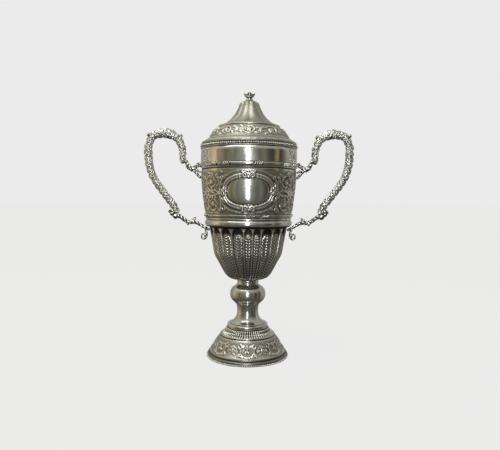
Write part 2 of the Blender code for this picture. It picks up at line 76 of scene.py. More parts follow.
def smooth(points: Sequence[Sequence[float]], spans: int) -> Array:
    """A smooth curve through points.

    Args:
        points: What the curve passes through, in any number of dimensions.
        spans: How many spans the curve has between each two points.

    Returns:
        The curve's points, one a row.
    """
    given = np.asarray(points, float)
    given = np.vstack([given[:1], given, given[-1:]])
    t = np.arange(spans)[:, None] / spans
    parts = []
    for a, b, c, d in zip(given, given[1:], given[2:], given[3:]):
        bend = 2 * a - 5 * b + 4 * c - d
        twist = 3 * b - a - 3 * c + d
        parts.append(0.5 * (2 * b + (c - a) * t + bend * t**2 + twist * t**3))
    return np.vstack(parts + [given[-1:]])


def arc(centre: Sequence[float], radii: Sequence[float], start: float, end: float, spans: int) -> Array:
    """Points on an ellipse's arc.

    Args:
        centre: The ellipse's centre.
        radii: Its two half axes.
        start: The angle of the first point, in degrees.
        end: The angle of the last point.
        spans: How many spans lie between them.

    Returns:
        The arc's points, one a row.
    """
    turn = np.radians(np.linspace(start, end, spans + 1))
    return np.column_stack([centre[0] + radii[0] * np.cos(turn), centre[1] + radii[1] * np.sin(turn)])


def divided(points: Array, pitch: float) -> Array:
    """The polyline with more points on it, so that no span is longer than pitch; its own points stay.

    Args:
        points: The polyline.
        pitch: The longest span that is wanted.

    Returns:
        The points with more between them.
    """
    parts = []
    for a, b in zip(points, points[1:]):
        count = max(1, math.ceil(float(np.linalg.norm(b - a)) / pitch))
        parts.append(a + (b - a) * np.arange(count)[:, None] / count)
    return np.vstack(parts + [points[-1:]])


def spaced(points: Array, step: float, plain: Callable[[Array], Array]) -> Array:
    """The polyline at about even steps, with its sharp corners.

    Args:
        points: Its points, one a row.
        step: The least distance between two points.
        plain: Which of the points lie on plain stretches, where that distance is eight times as long.

    Returns:
        The points that stay.
    """
    fine = divided(points, step / 2.0)
    run = np.diff(fine, axis=0)
    heading = np.unwrap(np.arctan2(run[:, 1], run[:, 0]))
    corner = np.abs(np.diff(heading, prepend=heading[0], append=heading[-1])) > 0.45
    least = np.where(plain(fine), 8.0 * step, step)
    kept = [0]
    for k in range(1, len(fine) - 1):
        if corner[k] or np.linalg.norm(fine[k] - fine[kept[-1]]) >= least[k]:
            kept.append(k)
    return fine[kept + [len(fine) - 1]]


def bent(base: Sequence[float], heading: float, length: float, curl: float, points: int = 8) -> Array:
    """A flat path that starts at a base and turns evenly.

    Args:
        base: Where it starts.
        heading: Its first direction, in degrees.
        length: Its length.
        curl: How far it turns on its way, in degrees.
        points: How many points it has.

    Returns:
        The path's points, one a row.
    """
    turn = np.radians(heading + curl * np.linspace(0.0, 1.0, points - 1))
    steps = np.column_stack([np.cos(turn), np.sin(turn)]) * length / (points - 1)
    return np.vstack([[base], np.asarray(base) + np.cumsum(steps, axis=0)])


def coil(centre: Sequence[float], radii: Sequence[float], start: float, turns: float, last: float) -> Array:
    """A flat spiral.

    Args:
        centre: What it winds round.
        radii: Its half width and half height at its first point.
        start: The angle of its first point, in degrees.
        turns: How many times it winds round, negative for clockwise.
        last: The share of the radii that is left at its end.

    Returns:
        The spiral's points, one a row.
    """
    count = 8 + int(abs(turns) * 18)
    share = np.linspace(0.0, 1.0, count)
    turn = np.radians(start + 360.0 * turns * share)
    reach = 1.0 - (1.0 - last) * share
    x = centre[0] + radii[0] * reach * np.cos(turn)
    return np.column_stack([x, centre[1] + radii[1] * reach * np.sin(turn)])


def softened(level: Array, passes: int) -> Array:
    """The level blurred over its neighbours that many times; its columns run round and meet.

    Args:
        level: A value at each row and column.
        passes: How often it is blurred.

    Returns:
        The blurred values.
    """
    soft = level.copy()
    for _ in range(passes):
        soft = (soft + np.roll(soft, 1, 1) + np.roll(soft, -1, 1)) / 3.0
        soft = (soft + np.vstack([soft[:1], soft[:-1]]) + np.vstack([soft[1:], soft[-1:]])) / 3.0
    return soft


def hollows_and_highlights(level: Array, passes: int, depth: float) -> Array:
    """How far each place lies below its neighbourhood: 1 at that depth, for oxide in recesses, and -0.8 on a
    rise as high, for a painted highlight.
    """
    return np.clip((softened(level, passes) - level) / depth, -0.8, 1.0)


@dataclass
class Surface:
    """A surface of rings: columns run round it and rows along it."""

    columns: int

    turns: Array = field(init=False)
    radii: Array = field(init=False)
    along: Array = field(init=False)

    def measure(self, line: Array, radii: Array) -> None:
        """Sets the columns' angles, each row's radius and each row's distance along the line.

        Args:
            line: The rows' places along the surface.
            radii: The rows' radii.
        """
        self.turns = np.radians(np.arange(self.columns) * 360.0 / self.columns - 180.0)
        self.radii = radii
        self.along = np.concatenate([[0.0], np.cumsum(np.linalg.norm(np.diff(line, axis=0), axis=1))])

    def flat(self) -> Array:
        """A level of zero everywhere."""
        return np.zeros((len(self.along), self.columns))

    def dented(self, depth: float, seed: int) -> Array:
        """The soft unevenness that hammering leaves.

        Args:
            depth: Its greatest depth, about.
            seed: Which unevenness it is.

        Returns:
            A level for every row and column.
        """
        draw = np.random.default_rng(seed)
        level = self.flat()
        for _ in range(14):
            waves = int(draw.integers(3, 17))
            length = draw.uniform(0.018, 0.06)
            phase = draw.uniform(0.0, 2.0 * math.pi, 2)
            across = np.cos(waves * self.turns + phase[0])
            level += np.outer(np.cos(2.0 * math.pi * self.along / length + phase[1]), across)
        return level * depth / 6.0


@dataclass
class TurnedForm(Surface):
    """A surface turned about the cup's axis from an outline that runs down its outer side."""

    outline: Array

    def __post_init__(self) -> None:
        """Measures the outline and finds its outward directions."""
        self.measure(self.outline, self.outline[:, 0])
        run = np.gradient(self.outline, axis=0)
        run /= np.maximum(np.linalg.norm(run, axis=1, keepdims=True), 1e-9)
        self.normals = np.column_stack([-run[:, 1], run[:, 0]])

    def rings(self, level: Array) -> Array:
        """The surface's points (row, column, xyz), moved outwards by the level.

        Args:
            level: How far each point is moved out.

        Returns:
            The points.
        """
        radius = self.outline[:, :1] + self.normals[:, :1] * level
        height = self.outline[:, 1:] + self.normals[:, 1:] * level
        return np.stack([radius * np.sin(self.turns), -radius * np.cos(self.turns), height], axis=2)

    def row_at(self, height: float) -> int:
        """The first row down the outline that is at or below a height."""
        return int(np.argmax(self.outline[:, 1] <= height))

    def painted_shade_lines(self, dark: Array, lines: Lines) -> None:
        """Paints fine lines of shade round the form.

        Args:
            dark: How dark each point is; it is changed.
            lines: Each line's height and how dark its painted shade is.
        """
        for height, depth in lines:
            row = self.row_at(height)
            dark[row : row + 2] = np.maximum(dark[row : row + 2], depth)

    def place(self, degrees: float, height: float, out: float = 0.0) -> Place:
        """A place on the outer side.

        Args:
            degrees: Where it is round the cup.
            height: Its height.
            out: How far it lies outside the surface.

        Returns:
            The place, and the matrix whose columns point across, up and out there.
        """
        row = self.row_at(height)
        turn = math.radians(degrees)
        lean, rise = self.normals[row]
        outward = Vector((lean * math.sin(turn), -lean * math.cos(turn), rise))
        across = Vector((math.cos(turn), math.sin(turn), 0.0))
        radius = float(self.outline[row, 0])
        centre = Vector((radius * math.sin(turn), -radius * math.cos(turn), float(self.outline[row, 1])))
        axes = Matrix((across, outward.cross(across), outward)).transposed()
        return centre + outward * out, axes


@dataclass
class Tube(Surface):
    """A member along the plane y = 0 with an oval section, whose ends are rounded."""

    stations: Array

    def __post_init__(self) -> None:
        """Measures the member, rounds its ends and finds the sides' direction."""
        line = self.stations[:, :2]
        self.measure(line, self.stations[:, 2:].mean(axis=1))
        run = np.gradient(line, axis=0)
        run /= np.maximum(np.linalg.norm(run, axis=1, keepdims=True), 1e-9)
        self.side = np.column_stack([-run[:, 1], run[:, 0]])
        to_end = np.minimum(self.along, self.along[-1] - self.along)
        share = np.clip(to_end / np.maximum(self.stations[:, 2], 1e-6), 0.0, 1.0)
        self.round = np.maximum(np.sqrt(1.0 - (1.0 - share) ** 2), 0.05)

    def rings(self, level: Array) -> Array:
        """The surface's points (row, column, xyz), moved outwards by the level.

        Args:
            level: How far each point is moved out.

        Returns:
            The points.
        """
        half = self.stations[:, 2:3] * self.round[:, None]
        depth = self.stations[:, 3:4] * self.round[:, None]
        cos, sin = np.cos(self.turns), np.sin(self.turns)
        out_side, out_y = cos / half, sin / depth
        length = np.hypot(out_side, out_y)
        level = level * self.round[:, None]
        reach = half * cos + level * out_side / length
        y = depth * sin + level * out_y / length
        x = self.stations[:, 0:1] + self.side[:, :1] * reach
        z = self.stations[:, 1:2] + self.side[:, 1:] * reach
        return np.stack([x, y, z], axis=2)


class Patch:
    """A window of chased work round one place, with true distances across and up from it."""

    def __init__(
        self, work: "Chasing", degrees: float, along: float, reach: float, flip: float, tip: float
    ) -> None:
        """Cuts the window.

        Args:
            work: The chased work that the window is on.
            degrees: The place's angle round the surface.
            along: The place's distance along the surface.
            reach: How far the window reaches.
            flip: -1 where across runs towards lower angles, or else 1.
            tip: -1 where up runs along the surface, or else 1.
        """
        surface = work.surface
        self.work = work
        rows = np.arange(work.first, work.last)
        self.rows = rows[np.abs(surface.along[rows] - along) <= reach]
        away = (surface.turns - math.radians(degrees) + math.pi) % (2.0 * math.pi) - math.pi
        widest = max(float(surface.radii[self.rows].max()), 1e-4)
        self.columns = np.nonzero(np.abs(away) * widest <= reach)[0]
        self.x = flip * away[self.columns][None, :] * surface.radii[self.rows][:, None]
        self.y = np.repeat(tip * (along - surface.along[self.rows])[:, None], len(self.columns), axis=1)

    def raise_to(self, body: Array, rows: Array | None = None, columns: Array | None = None) -> None:
        """Lifts the work to a body's height wherever that is higher.

        Args:
            body: The height at each point of the window, or of the rows and columns given.
            rows: Which of the window's rows it covers.
            columns: Which of its columns.
        """
        rows = self.rows if rows is None else self.rows[rows]
        columns = self.columns if columns is None else self.columns[columns]
        where = np.ix_(rows, columns)
        self.work.level[where] = np.maximum(self.work.level[where], body)

    def stroke(self, path: Array, half: Array | float, rise: Array | float, vein: float = 0.0) -> None:
        """A rounded ridge.

        Args:
            path: The ridge's middle line.
            half: Its half width, for all of it or for each point.
            rise: Its height, for all of it or for each point.
            vein: The share of the height that a groove along its middle takes.
        """
        half = np.broadcast_to(np.asarray(half, float), len(path))
        rise = np.broadcast_to(np.asarray(rise, float), len(path))
        margin = float(half.max())
        low, high = path.min(axis=0) - margin, path.max(axis=0) + margin
        rows = np.nonzero((self.y[:, 0] >= low[1]) & (self.y[:, 0] <= high[1]))[0]
        columns = np.nonzero(((self.x >= low[0]) & (self.x <= high[0])).any(axis=0))[0]
        if not len(rows) or not len(columns):
            return
        x, y = self.x[np.ix_(rows, columns)], self.y[np.ix_(rows, columns)]
        body = np.zeros_like(x)
        for a, b, wide, high_ in zip(path, path[1:], zip(half, half[1:]), zip(rise, rise[1:])):
            step = b - a
            size = max(float(step @ step), 1e-14)
            t = np.clip(((x - a[0]) * step[0] + (y - a[1]) * step[1]) / size, 0.0, 1.0)
            gap = np.hypot(x - a[0] - t * step[0], y - a[1] - t * step[1])
            share = gap / (wide[0] + (wide[1] - wide[0]) * t)
            ridge = (high_[0] + (high_[1] - high_[0]) * t) * np.sqrt(np.clip(1.0 - share**2, 0.0, None))
            if vein:
                ridge = ridge * (1.0 - vein * np.exp(-((share / 0.28) ** 2)))
            body = np.maximum(body, ridge)
        self.raise_to(body, rows, columns)

    def leaf(
        self, base: Sequence[float], heading: float, length: float, half: float, rise: float,
        curl: float = 0.0
    ) -> None:
        """A pointed leaf with a vein.

        Args:
            base: Where it starts.
            heading: Which way it points, in degrees.
            length: Its length.
            half: Its half width.
            rise: Its height.
            curl: How far it bends, in degrees.
        """
        share = np.linspace(0.0, 1.0, 8)
        widths = half * np.maximum(np.sin(math.pi * share**0.7), 0.14)
        self.stroke(
            bent(base, heading, length, curl), widths, rise * (0.55 + 0.45 * np.sin(math.pi * share)), 0.45
        )

    def spray(self, base: Sequence[float], heading: float, size: float, rise: float, lobes: int = 5) -> None:
        """A leaf of several lobes that fan out from its base.

        Args:
            base: Where the lobes start.
            heading: Which way the middle one points, in degrees.
            size: The length of the middle one.
            rise: Its height.
            lobes: How many there are.
        """
        middle = (lobes - 1) / 2.0
        for lobe in range(lobes):
            off = lobe - middle
            length = size * (1.0 - 0.16 * abs(off))
            self.leaf(
                base, heading + 36.0 * off, length, 0.20 * size, rise * (1.0 - 0.1 * abs(off)), 22.0 * off
            )

    def bead(self, centre: Sequence[float], radius: float, rise: float) -> None:
        """A round bead."""
        path = np.asarray([centre, [centre[0] + 1e-5, centre[1]]], float)
        self.stroke(path, radius, rise)

    def rosette(
        self, centre: Sequence[float], radius: float, rise: float, petals: int = 5, turn: float = 90.0
    ) -> None:
        """A flower with petals round a bead.

        Args:
            centre: Its middle.
            radius: Its radius.
            rise: Its height.
            petals: How many petals it has.
            turn: Which way the first one points, in degrees.
        """
        for petal in range(petals):
            heading = turn + 360.0 * petal / petals
            start = bent(centre, heading, 0.22 * radius, 0.0, 2)[-1]
            self.leaf(start, heading, 0.80 * radius, 0.34 * radius, rise)
        self.bead(centre, 0.27 * radius, 1.25 * rise)


class Chasing:
    """Chased and cast work on some rows of a surface, as a level above it."""

    def __init__(self, surface: Surface, first: int = 0, last: int | None = None) -> None:
        """Starts with plain metal on the rows from first up to last.

        Args:
            surface: The surface that is worked.
            first: The first row of the work.
            last: The row after its last one, or None for the end.
        """
        self.surface = surface
        self.first = first
        self.last = len(surface.along) if last is None else last
        self.level = surface.flat()

    def patch(self, degrees: float, along: float, reach: float, flip: float = 1.0, tip: float = 1.0) -> Patch:
        """A window of the work round one place."""
        return Patch(self, degrees, along, reach, flip, tip)

    def ground(self, top: float, edge: int = 4) -> Array:
        """Where the ground is matted.

        Args:
            top: The height from which the work is free of it.
            edge: How many rows it takes to fade at both ends.

        Returns:
            1 where the work is lowest, down to 0 where it is higher than top, for every row.
        """
        matt = np.zeros_like(self.level)
        rows = np.arange(self.first, self.last)
        fade = np.clip(np.minimum(rows - self.first, self.last - 1 - rows) / edge, 0.0, 1.0)
        rows = slice(self.first, self.last)
        matt[rows] = np.clip(1.0 - self.level[rows] / top, 0.0, 1.0) * fade[:, None]
        return matt


class MeshMaker:
    """Collects rings of points into one mesh, with two attributes that its finish reads."""

    def __init__(self) -> None:
        """Starts empty."""
        self.points: list[Array] = []
        self.faces: list[Sequence[int]] = []
        self.oxide_and_painted_light: list[Array] = []
        self.matt: list[Array] = []
        self.count = 0

    def add_points(self, points: Array, oxide_and_painted_light: Array, matt: Array) -> int:
        """Adds points and their attributes.

        Args:
            points: The points, in any arrangement of rows.
            oxide_and_painted_light: Its oxide and painted shade, and its painted highlight where negative.
            matt: How matt each is.

        Returns:
            The first one's number.
        """
        first = self.count
        self.points.append(points)
        self.oxide_and_painted_light.append(oxide_and_painted_light)
        self.matt.append(matt)
        self.count += len(points)
        return first

    def grid(
        self, rings: Array, oxide_and_painted_light: Array | None = None, matt: Array | None = None, loop: bool = False
    ) -> None:
        """Adds a closed form made of rings.

        Args:
            rings: The points (row, column, xyz), each row a closed ring.
            oxide_and_painted_light: The oxide and painted shade at each point, up to 1, and a painted
                highlight where negative.
            matt: How matted each point is, from 0 to 1.
            loop: Whether the last ring joins the first. If not, both end in a point of their own.
        """
        rows, columns = rings.shape[:2]
        oxide_and_painted_light = np.zeros((rows, columns)) if oxide_and_painted_light is None else oxide_and_painted_light
        matt = np.zeros((rows, columns)) if matt is None else matt
        first = self.add_points(rings.reshape(-1, 3), oxide_and_painted_light.ravel(), matt.ravel())
        last_row = rows if loop else rows - 1
        i, j = np.meshgrid(np.arange(last_row), np.arange(columns), indexing="ij")
        below, beside = (i + 1) % rows, (j + 1) % columns
        quads = np.stack(
            [i * columns + j, below * columns + j, below * columns + beside, i * columns + beside], axis=2
        )
        self.faces.extend((quads.reshape(-1, 4) + first).tolist())
        if loop:
            return
        ends = np.stack([rings[0].mean(axis=0), rings[-1].mean(axis=0)])
        pole = self.add_points(ends, np.zeros(2), np.zeros(2))
        last = first + (rows - 1) * columns
        for k in range(columns):
            m = (k + 1) % columns
            self.faces.append((pole, first + k, first + m))
            self.faces.append((pole + 1, last + m, last + k))

    def make(self, name: str, finish: "SilverFinish") -> bpy.types.Object:
        """The finished piece, smooth shaded and with its material.

        Args:
            name: The piece's name.
            finish: What it is made of.

        Returns:
            The piece.
        """
        mesh = bpy.data.meshes.new(name)
        mesh.from_pydata(np.vstack(self.points).tolist(), [], self.faces)
        # The first attribute carries oxide, painted shade and painted highlights; the second the matted
        # ground.
        for label, parts in (("oxide_and_painted_light", self.oxide_and_painted_light), ("matt", self.matt)):
            attribute = mesh.attributes.new(label, "FLOAT", "POINT")
            attribute.data.foreach_set("value", np.concatenate(parts).astype(np.float32))
        mesh.shade_smooth()
        mesh.materials.append(finish.material())
        piece = bpy.data.objects.new(name, mesh)
        bpy.context.scene.collection.objects.link(piece)
        return piece


class Wiring:
    """Adds nodes to a tree and joins them."""

    def __init__(self, tree: bpy.types.NodeTree) -> None:
        """Works on that tree."""
        self.tree = tree

    def add(self, kind: str, inputs: dict | None = None, **settings: object) -> bpy.types.Node:
        """A new node.

        Args:
            kind: The node's type name.
            inputs: What goes into its sockets, by name or number: another node's socket, or a value.
            settings: The node's own properties.

        Returns:
            The node.
        """
        node = self.tree.nodes.new(kind)
        for key, value in settings.items():
            setattr(node, key, value)
        for key, value in (inputs or {}).items():
            if isinstance(value, bpy.types.NodeSocket):
                self.tree.links.new(value, node.inputs[key])
            else:
                node.inputs[key].default_value = value
        return node

    def sum(self, operation: str, *values: object) -> bpy.types.NodeSocket:
        """The result of a Math node on sockets or numbers, kept from 0 to 1."""
        node = self.add("ShaderNodeMath", dict(enumerate(values)), operation=operation, use_clamp=True)
        return node.outputs[0]


WARM_SILVER = (0.77, 0.77, 0.728)
DULL_SILVER = (0.34, 0.325, 0.28)


@dataclass(frozen=True)
class SilverFinish:
    """Silver with dark oxide and painted shade, painted highlights, dull spots and fine wear.

    Attributes:
        name: The material's name.
        bright: The colour of clean metal.
        dull: The colour under a film of tarnish.
        polish: The roughness of clean metal.
        haze: The roughness of tarnish, of the oxide and of the painted shade.
        mottle: How much of the surface the tarnish takes.
        oxide_and_shade_gain: How strongly the oxide and the painted shade darken.
        oxide: The colour of oxide deep in a recess, which the painted shade takes too.
        painted_highlight: The colour of the painted highlight on high places.
        crest_rough: Their roughness.
    """

    name: str
    bright: Colour
    dull: Colour
    polish: float
    haze: float
    mottle: float
    oxide_and_shade_gain: float
    oxide: Colour = (0.05, 0.044, 0.037)
    painted_highlight: Colour = (0.97, 0.965, 0.93)
    crest_rough: float = 0.27

    def material(self) -> bpy.types.Material:
        """The finish as a procedural material, made once.

        Returns:
            The material.
        """
        made = bpy.data.materials.get(self.name)
        if made:
            return made
        made = bpy.data.materials.new(self.name)
        made.use_nodes = True
        tree = made.node_tree
        tree.nodes.clear()
        w = Wiring(tree)
        where = w.add("ShaderNodeTexCoord").outputs["Object"]
        oxide_and_painted_light = w.add("ShaderNodeAttribute", attribute_name="oxide_and_painted_light").outputs["Fac"]
        matt = w.add("ShaderNodeAttribute", attribute_name="matt").outputs["Fac"]
        drawn = w.add(
            "ShaderNodeVectorMath", {0: where, 1: (1.0, 1.0, 0.45)}, operation="MULTIPLY"
        ).outputs[0]
        patches = w.add("ShaderNodeTexNoise", {"Vector": drawn, "Scale": 62.0, "Detail": 4.0}).outputs["Fac"]
        specks = w.add("ShaderNodeTexNoise", {"Vector": where, "Scale": 420.0, "Detail": 3.0}).outputs["Fac"]
        clouds = w.add(
            "ShaderNodeMapRange", {0: patches, "From Min": 0.42, "From Max": 0.72, "To Max": self.mottle}
        ).outputs[0]
        spots = w.add(
            "ShaderNodeMapRange", {0: specks, "From Min": 0.55, "From Max": 0.8, "To Max": self.mottle}
        ).outputs[0]
        film = w.sum("ADD", w.sum("ADD", clouds, spots), w.sum("MULTIPLY", matt, 0.75))
        # Positive attribute values: oxide in recesses and painted shade, towards the oxide colour.
        dark = w.sum("MULTIPLY", oxide_and_painted_light, self.oxide_and_shade_gain)
        worn = w.add(
            "ShaderNodeMix", {0: film, 6: (*self.bright, 1.0), 7: (*self.dull, 1.0)}, data_type="RGBA"
        )
        shaded = w.add(
            "ShaderNodeMix", {0: dark, 6: worn.outputs[2], 7: (*self.oxide, 1.0)}, data_type="RGBA"
        )
        # Negative attribute values: a painted highlight, towards the highlight colour.
        high = w.sum("MULTIPLY", oxide_and_painted_light, -1.0)
        colour = w.add(
            "ShaderNodeMix", {0: high, 6: shaded.outputs[2], 7: (*self.painted_highlight, 1.0)}, data_type="RGBA"
        )
        loss = w.sum("MAXIMUM", film, dark)
        rough = w.add("ShaderNodeMapRange", {0: loss, "To Min": self.polish, "To Max": self.haze}).outputs[0]
        rough = w.add("ShaderNodeMix", {0: high, 2: rough, 3: self.crest_rough}).outputs[0]
        scratch = w.add(
            "ShaderNodeTexNoise", {"Vector": where, "Scale": 900.0, "Detail": 5.0, "Roughness": 0.7}
        )
        punches = w.add("ShaderNodeTexVoronoi", {"Vector": where, "Scale": 640.0}).outputs["Distance"]
        fine = w.add(
            "ShaderNodeBump", {"Strength": 0.10, "Distance": 0.0002, "Height": scratch.outputs["Fac"]}
        ).outputs[0]
        marks = w.sum("MULTIPLY", punches, matt)
        bump = w.add(
            "ShaderNodeBump", {"Strength": 0.8, "Distance": 0.0004, "Height": marks, "Normal": fine}
        ).outputs[0]
        shader = w.add(
            "ShaderNodeBsdfPrincipled",
            {"Base Color": colour.outputs[2], "Metallic": 1.0, "Roughness": rough, "Normal": bump},
        )
        w.add("ShaderNodeOutputMaterial", {"Surface": shader.outputs[0]})
        return made


BODY_FINISH = SilverFinish("chased body silver", WARM_SILVER, (0.40, 0.375, 0.31), 0.11, 0.48, 0.42, 1.25)
FOOT_FINISH = SilverFinish("chased foot silver", WARM_SILVER, DULL_SILVER, 0.14, 0.50, 0.40, 1.2)
STEM_FINISH = SilverFinish("turned stem silver", (0.69, 0.70, 0.665), DULL_SILVER, 0.09, 0.40, 0.50, 1.0)
LID_FINISH = SilverFinish("satin lid silver", (0.74, 0.735, 0.68), DULL_SILVER, 0.34, 0.50, 0.30, 1.0)
BRIGHT_FINISH = SilverFinish(
    "bright bead silver", (0.96, 0.955, 0.92), (0.70, 0.69, 0.64), 0.25, 0.42, 0.2, 1.0
)
HANDLE_FINISH = SilverFinish(
    "cast handle silver", (0.93, 0.93, 0.91), (0.66, 0.65, 0.62), 0.17, 0.42, 0.2, 1.1
)
FINIAL_FINISH = SilverFinish("cast finial silver", (0.84, 0.84, 0.81), DULL_SILVER, 0.14, 0.42, 0.3, 1.2)


def keep(piece: bpy.types.Object, node: str) -> bpy.types.Object:
    """Sets a finished piece on the cup, hides the solids' node that it stands for and logs its faces.

    Args:
        piece: The piece.
        node: The solids' node that it stands for.

    Returns:
        The piece.
    """
    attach(piece, BODY)
    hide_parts(node)
    LOG.info("%s: %d faces", piece.name, len(piece.data.polygons))
    return piece


class GeometryTree:
    """A Geometry Nodes tree with named inputs, run on an object and turned into plain mesh."""

    def __init__(self, name: str, inputs: dict[str, str]) -> None:
        """Makes the tree.

        Args:
            name: The tree's name.
            inputs: The named inputs beside the geometry and the material, with each one's socket type.
        """
        self.tree = bpy.data.node_groups.new(name, "GeometryNodeTree")
        face = self.tree.interface
        face.new_socket("Geometry", in_out="INPUT", socket_type="NodeSocketGeometry")
        self.identifiers: dict[str, str] = {}
        for label, kind in {**inputs, "Material": "NodeSocketMaterial"}.items():
            self.identifiers[label] = face.new_socket(label, in_out="INPUT", socket_type=kind).identifier
        face.new_socket("Geometry", in_out="OUTPUT", socket_type="NodeSocketGeometry")
        self.wiring = Wiring(self.tree)
        self.given = self.wiring.add("NodeGroupInput").outputs

    def end(self, geometry: bpy.types.NodeSocket) -> None:
        """Ends the tree: instances become mesh, shaded smooth and with the material.

        Args:
            geometry: What the tree has made.
        """
        w = self.wiring
        real = w.add("GeometryNodeRealizeInstances", {0: geometry}).outputs[0]
        soft = w.add("GeometryNodeSetShadeSmooth", {0: real}).outputs[0]
        done = w.add(
            "GeometryNodeSetMaterial", {"Geometry": soft, "Material": self.given["Material"]}
        ).outputs[0]
        w.add("NodeGroupOutput", {0: done})

    def run(self, name: str, mesh: bpy.types.Mesh, values: dict[str, object]) -> bpy.types.Object:
        """The plain mesh object that the tree makes of a mesh with those inputs.

        Args:
            name: The piece's name.
            mesh: What the tree starts from.
            values: The tree's inputs by name.

        Returns:
            The piece.
        """
        source = bpy.data.objects.new(name + "_source", mesh)
        bpy.context.scene.collection.objects.link(source)
        modifier = source.modifiers.new("Nodes", "NODES")
        modifier.node_group = self.tree
        for label, value in values.items():
            modifier[self.identifiers[label]] = value
        graph = bpy.context.evaluated_depsgraph_get()
        made = bpy.data.meshes.new_from_object(source.evaluated_get(graph))
        source.modifiers.clear()
        bpy.data.objects.remove(source, do_unlink=True)
        made.name = name
        piece = bpy.data.objects.new(name, made)
        bpy.context.scene.collection.objects.link(piece)
        return piece


class Studs:
    """Beads and ties: one rounded form set at many places."""

    SIZES = ("Half Length", "Half Width", "Rise")
    FACETS = (10, 6)

    def __init__(self) -> None:
        """Builds the tree: a rounded form at every point, turned by the point's own turn."""
        self.nodes = GeometryTree("Studs on a surface", dict.fromkeys(self.SIZES, "NodeSocketFloat"))
        w, given = self.nodes.wiring, self.nodes.given
        segments, rings = self.FACETS
        ball = w.add(
            "GeometryNodeMeshUVSphere", {"Segments": segments, "Rings": rings, "Radius": 1.0}
        ).outputs[0]
        size = {axis: given[label] for axis, label in enumerate(self.SIZES)}
        scale = w.add("ShaderNodeCombineXYZ", size).outputs[0]
        stud = w.add("GeometryNodeTransform", {"Geometry": ball, "Scale": scale}).outputs[0]
        turn = w.add("GeometryNodeInputNamedAttribute", {"Name": "turn"}, data_type="FLOAT_VECTOR").outputs[0]
        points = w.add("GeometryNodeMeshToPoints", {0: given["Geometry"]}).outputs[0]
        spin = w.add("FunctionNodeEulerToRotation", {0: turn}).outputs[0]
        placed = w.add("GeometryNodeInstanceOnPoints", {"Points": points, "Instance": stud, "Rotation": spin})
        self.nodes.end(placed.outputs[0])

    def set_in(
        self,
        name: str,
        places: list[Place],
        sizes: tuple[float, float, float],
        finish: SilverFinish,
    ) -> bpy.types.Object:
        """The studs as one piece.

        Args:
            name: The piece's name.
            places: Each stud's place and its axes (length, width, out).
            sizes: Half length, half width and rise.
            finish: What it is made of.

        Returns:
            The piece, a plain mesh.
        """
        mesh = bpy.data.meshes.new(name + "_places")
        mesh.from_pydata([place[0] for place in places], [], [])
        turns = [value for place in places for value in place[1].to_euler("XYZ")]
        mesh.attributes.new("turn", "FLOAT_VECTOR", "POINT").data.foreach_set("vector", turns)
        return self.nodes.run(name, mesh, {**dict(zip(self.SIZES, sizes)), "Material": finish.material()})


class Lathe:
    """Plain turned pieces: an outline turned about the cup's axis."""

    def __init__(self) -> None:
        """Builds the tree: a grid whose rows follow the outline and whose columns turn round the axis."""
        self.nodes = GeometryTree("Turned piece", {"Rows": "NodeSocketInt", "Steps": "NodeSocketInt"})
        w, given = self.nodes.wiring, self.nodes.given
        outline = w.add("GeometryNodeMeshToCurve", {0: given["Geometry"]}).outputs[0]
        grid = w.add(
            "GeometryNodeMeshGrid",
            {"Size X": 1.0, "Size Y": 1.0, "Vertices X": given["Rows"], "Vertices Y": given["Steps"]},
        ).outputs[0]
        where = w.add("ShaderNodeSeparateXYZ", {0: w.add("GeometryNodeInputPosition").outputs[0]}).outputs
        row = w.add("ShaderNodeMath", {0: where[0], 1: 0.5}, operation="ADD").outputs[0]
        column = w.add("ShaderNodeMath", {0: where[1], 1: 0.5}, operation="ADD").outputs[0]
        turn = w.add("ShaderNodeMath", {0: column, 1: 2.0 * math.pi}, operation="MULTIPLY").outputs[0]
        sample = w.add(
            "GeometryNodeSampleCurve", {"Curves": outline, "Factor": row}, mode="FACTOR"
        ).outputs["Position"]
        spun = w.add(
            "ShaderNodeVectorRotate", {"Vector": sample, "Angle": turn}, rotation_type="Z_AXIS"
        ).outputs[0]
        turned = w.add("GeometryNodeSetPosition", {"Geometry": grid, "Position": spun}).outputs[0]
        closed = w.add("GeometryNodeMergeByDistance", {"Geometry": turned, "Distance": 0.000002}).outputs[0]
        self.nodes.end(closed)

    def turn(
        self, name: str, outline: Array, rows: int, steps: int, finish: SilverFinish
    ) -> bpy.types.Object:
        """A closed turned piece from an outline that runs down its outer side and ends on the axis.

        Args:
            name: The piece's name.
            outline: The outline as points (radius, height).
            rows: How many points the turned outline has.
            steps: How many columns go round.
            finish: What it is made of.

        Returns:
            The piece.
        """
        mesh = bpy.data.meshes.new(name + "_outline")
        points = [(float(radius), 0.0, float(height)) for radius, height in outline]
        mesh.from_pydata(points, [(i, i + 1) for i in range(len(points) - 1)], [])
        values = {"Rows": rows, "Steps": steps + 1, "Material": finish.material()}
        return self.nodes.run(name, mesh, values)


def spread(form: TurnedForm, height: float, count: int, out: float) -> list[Place]:
    """Even places round a form, for studs.

    Args:
        form: What they sit on.
        height: Their height.
        count: How many there are.
        out: How far their middles lie outside the surface.

    Returns:
        Each stud's place and axes.
    """
    return [form.place(360.0 * k / count, height, out) for k in range(count)]


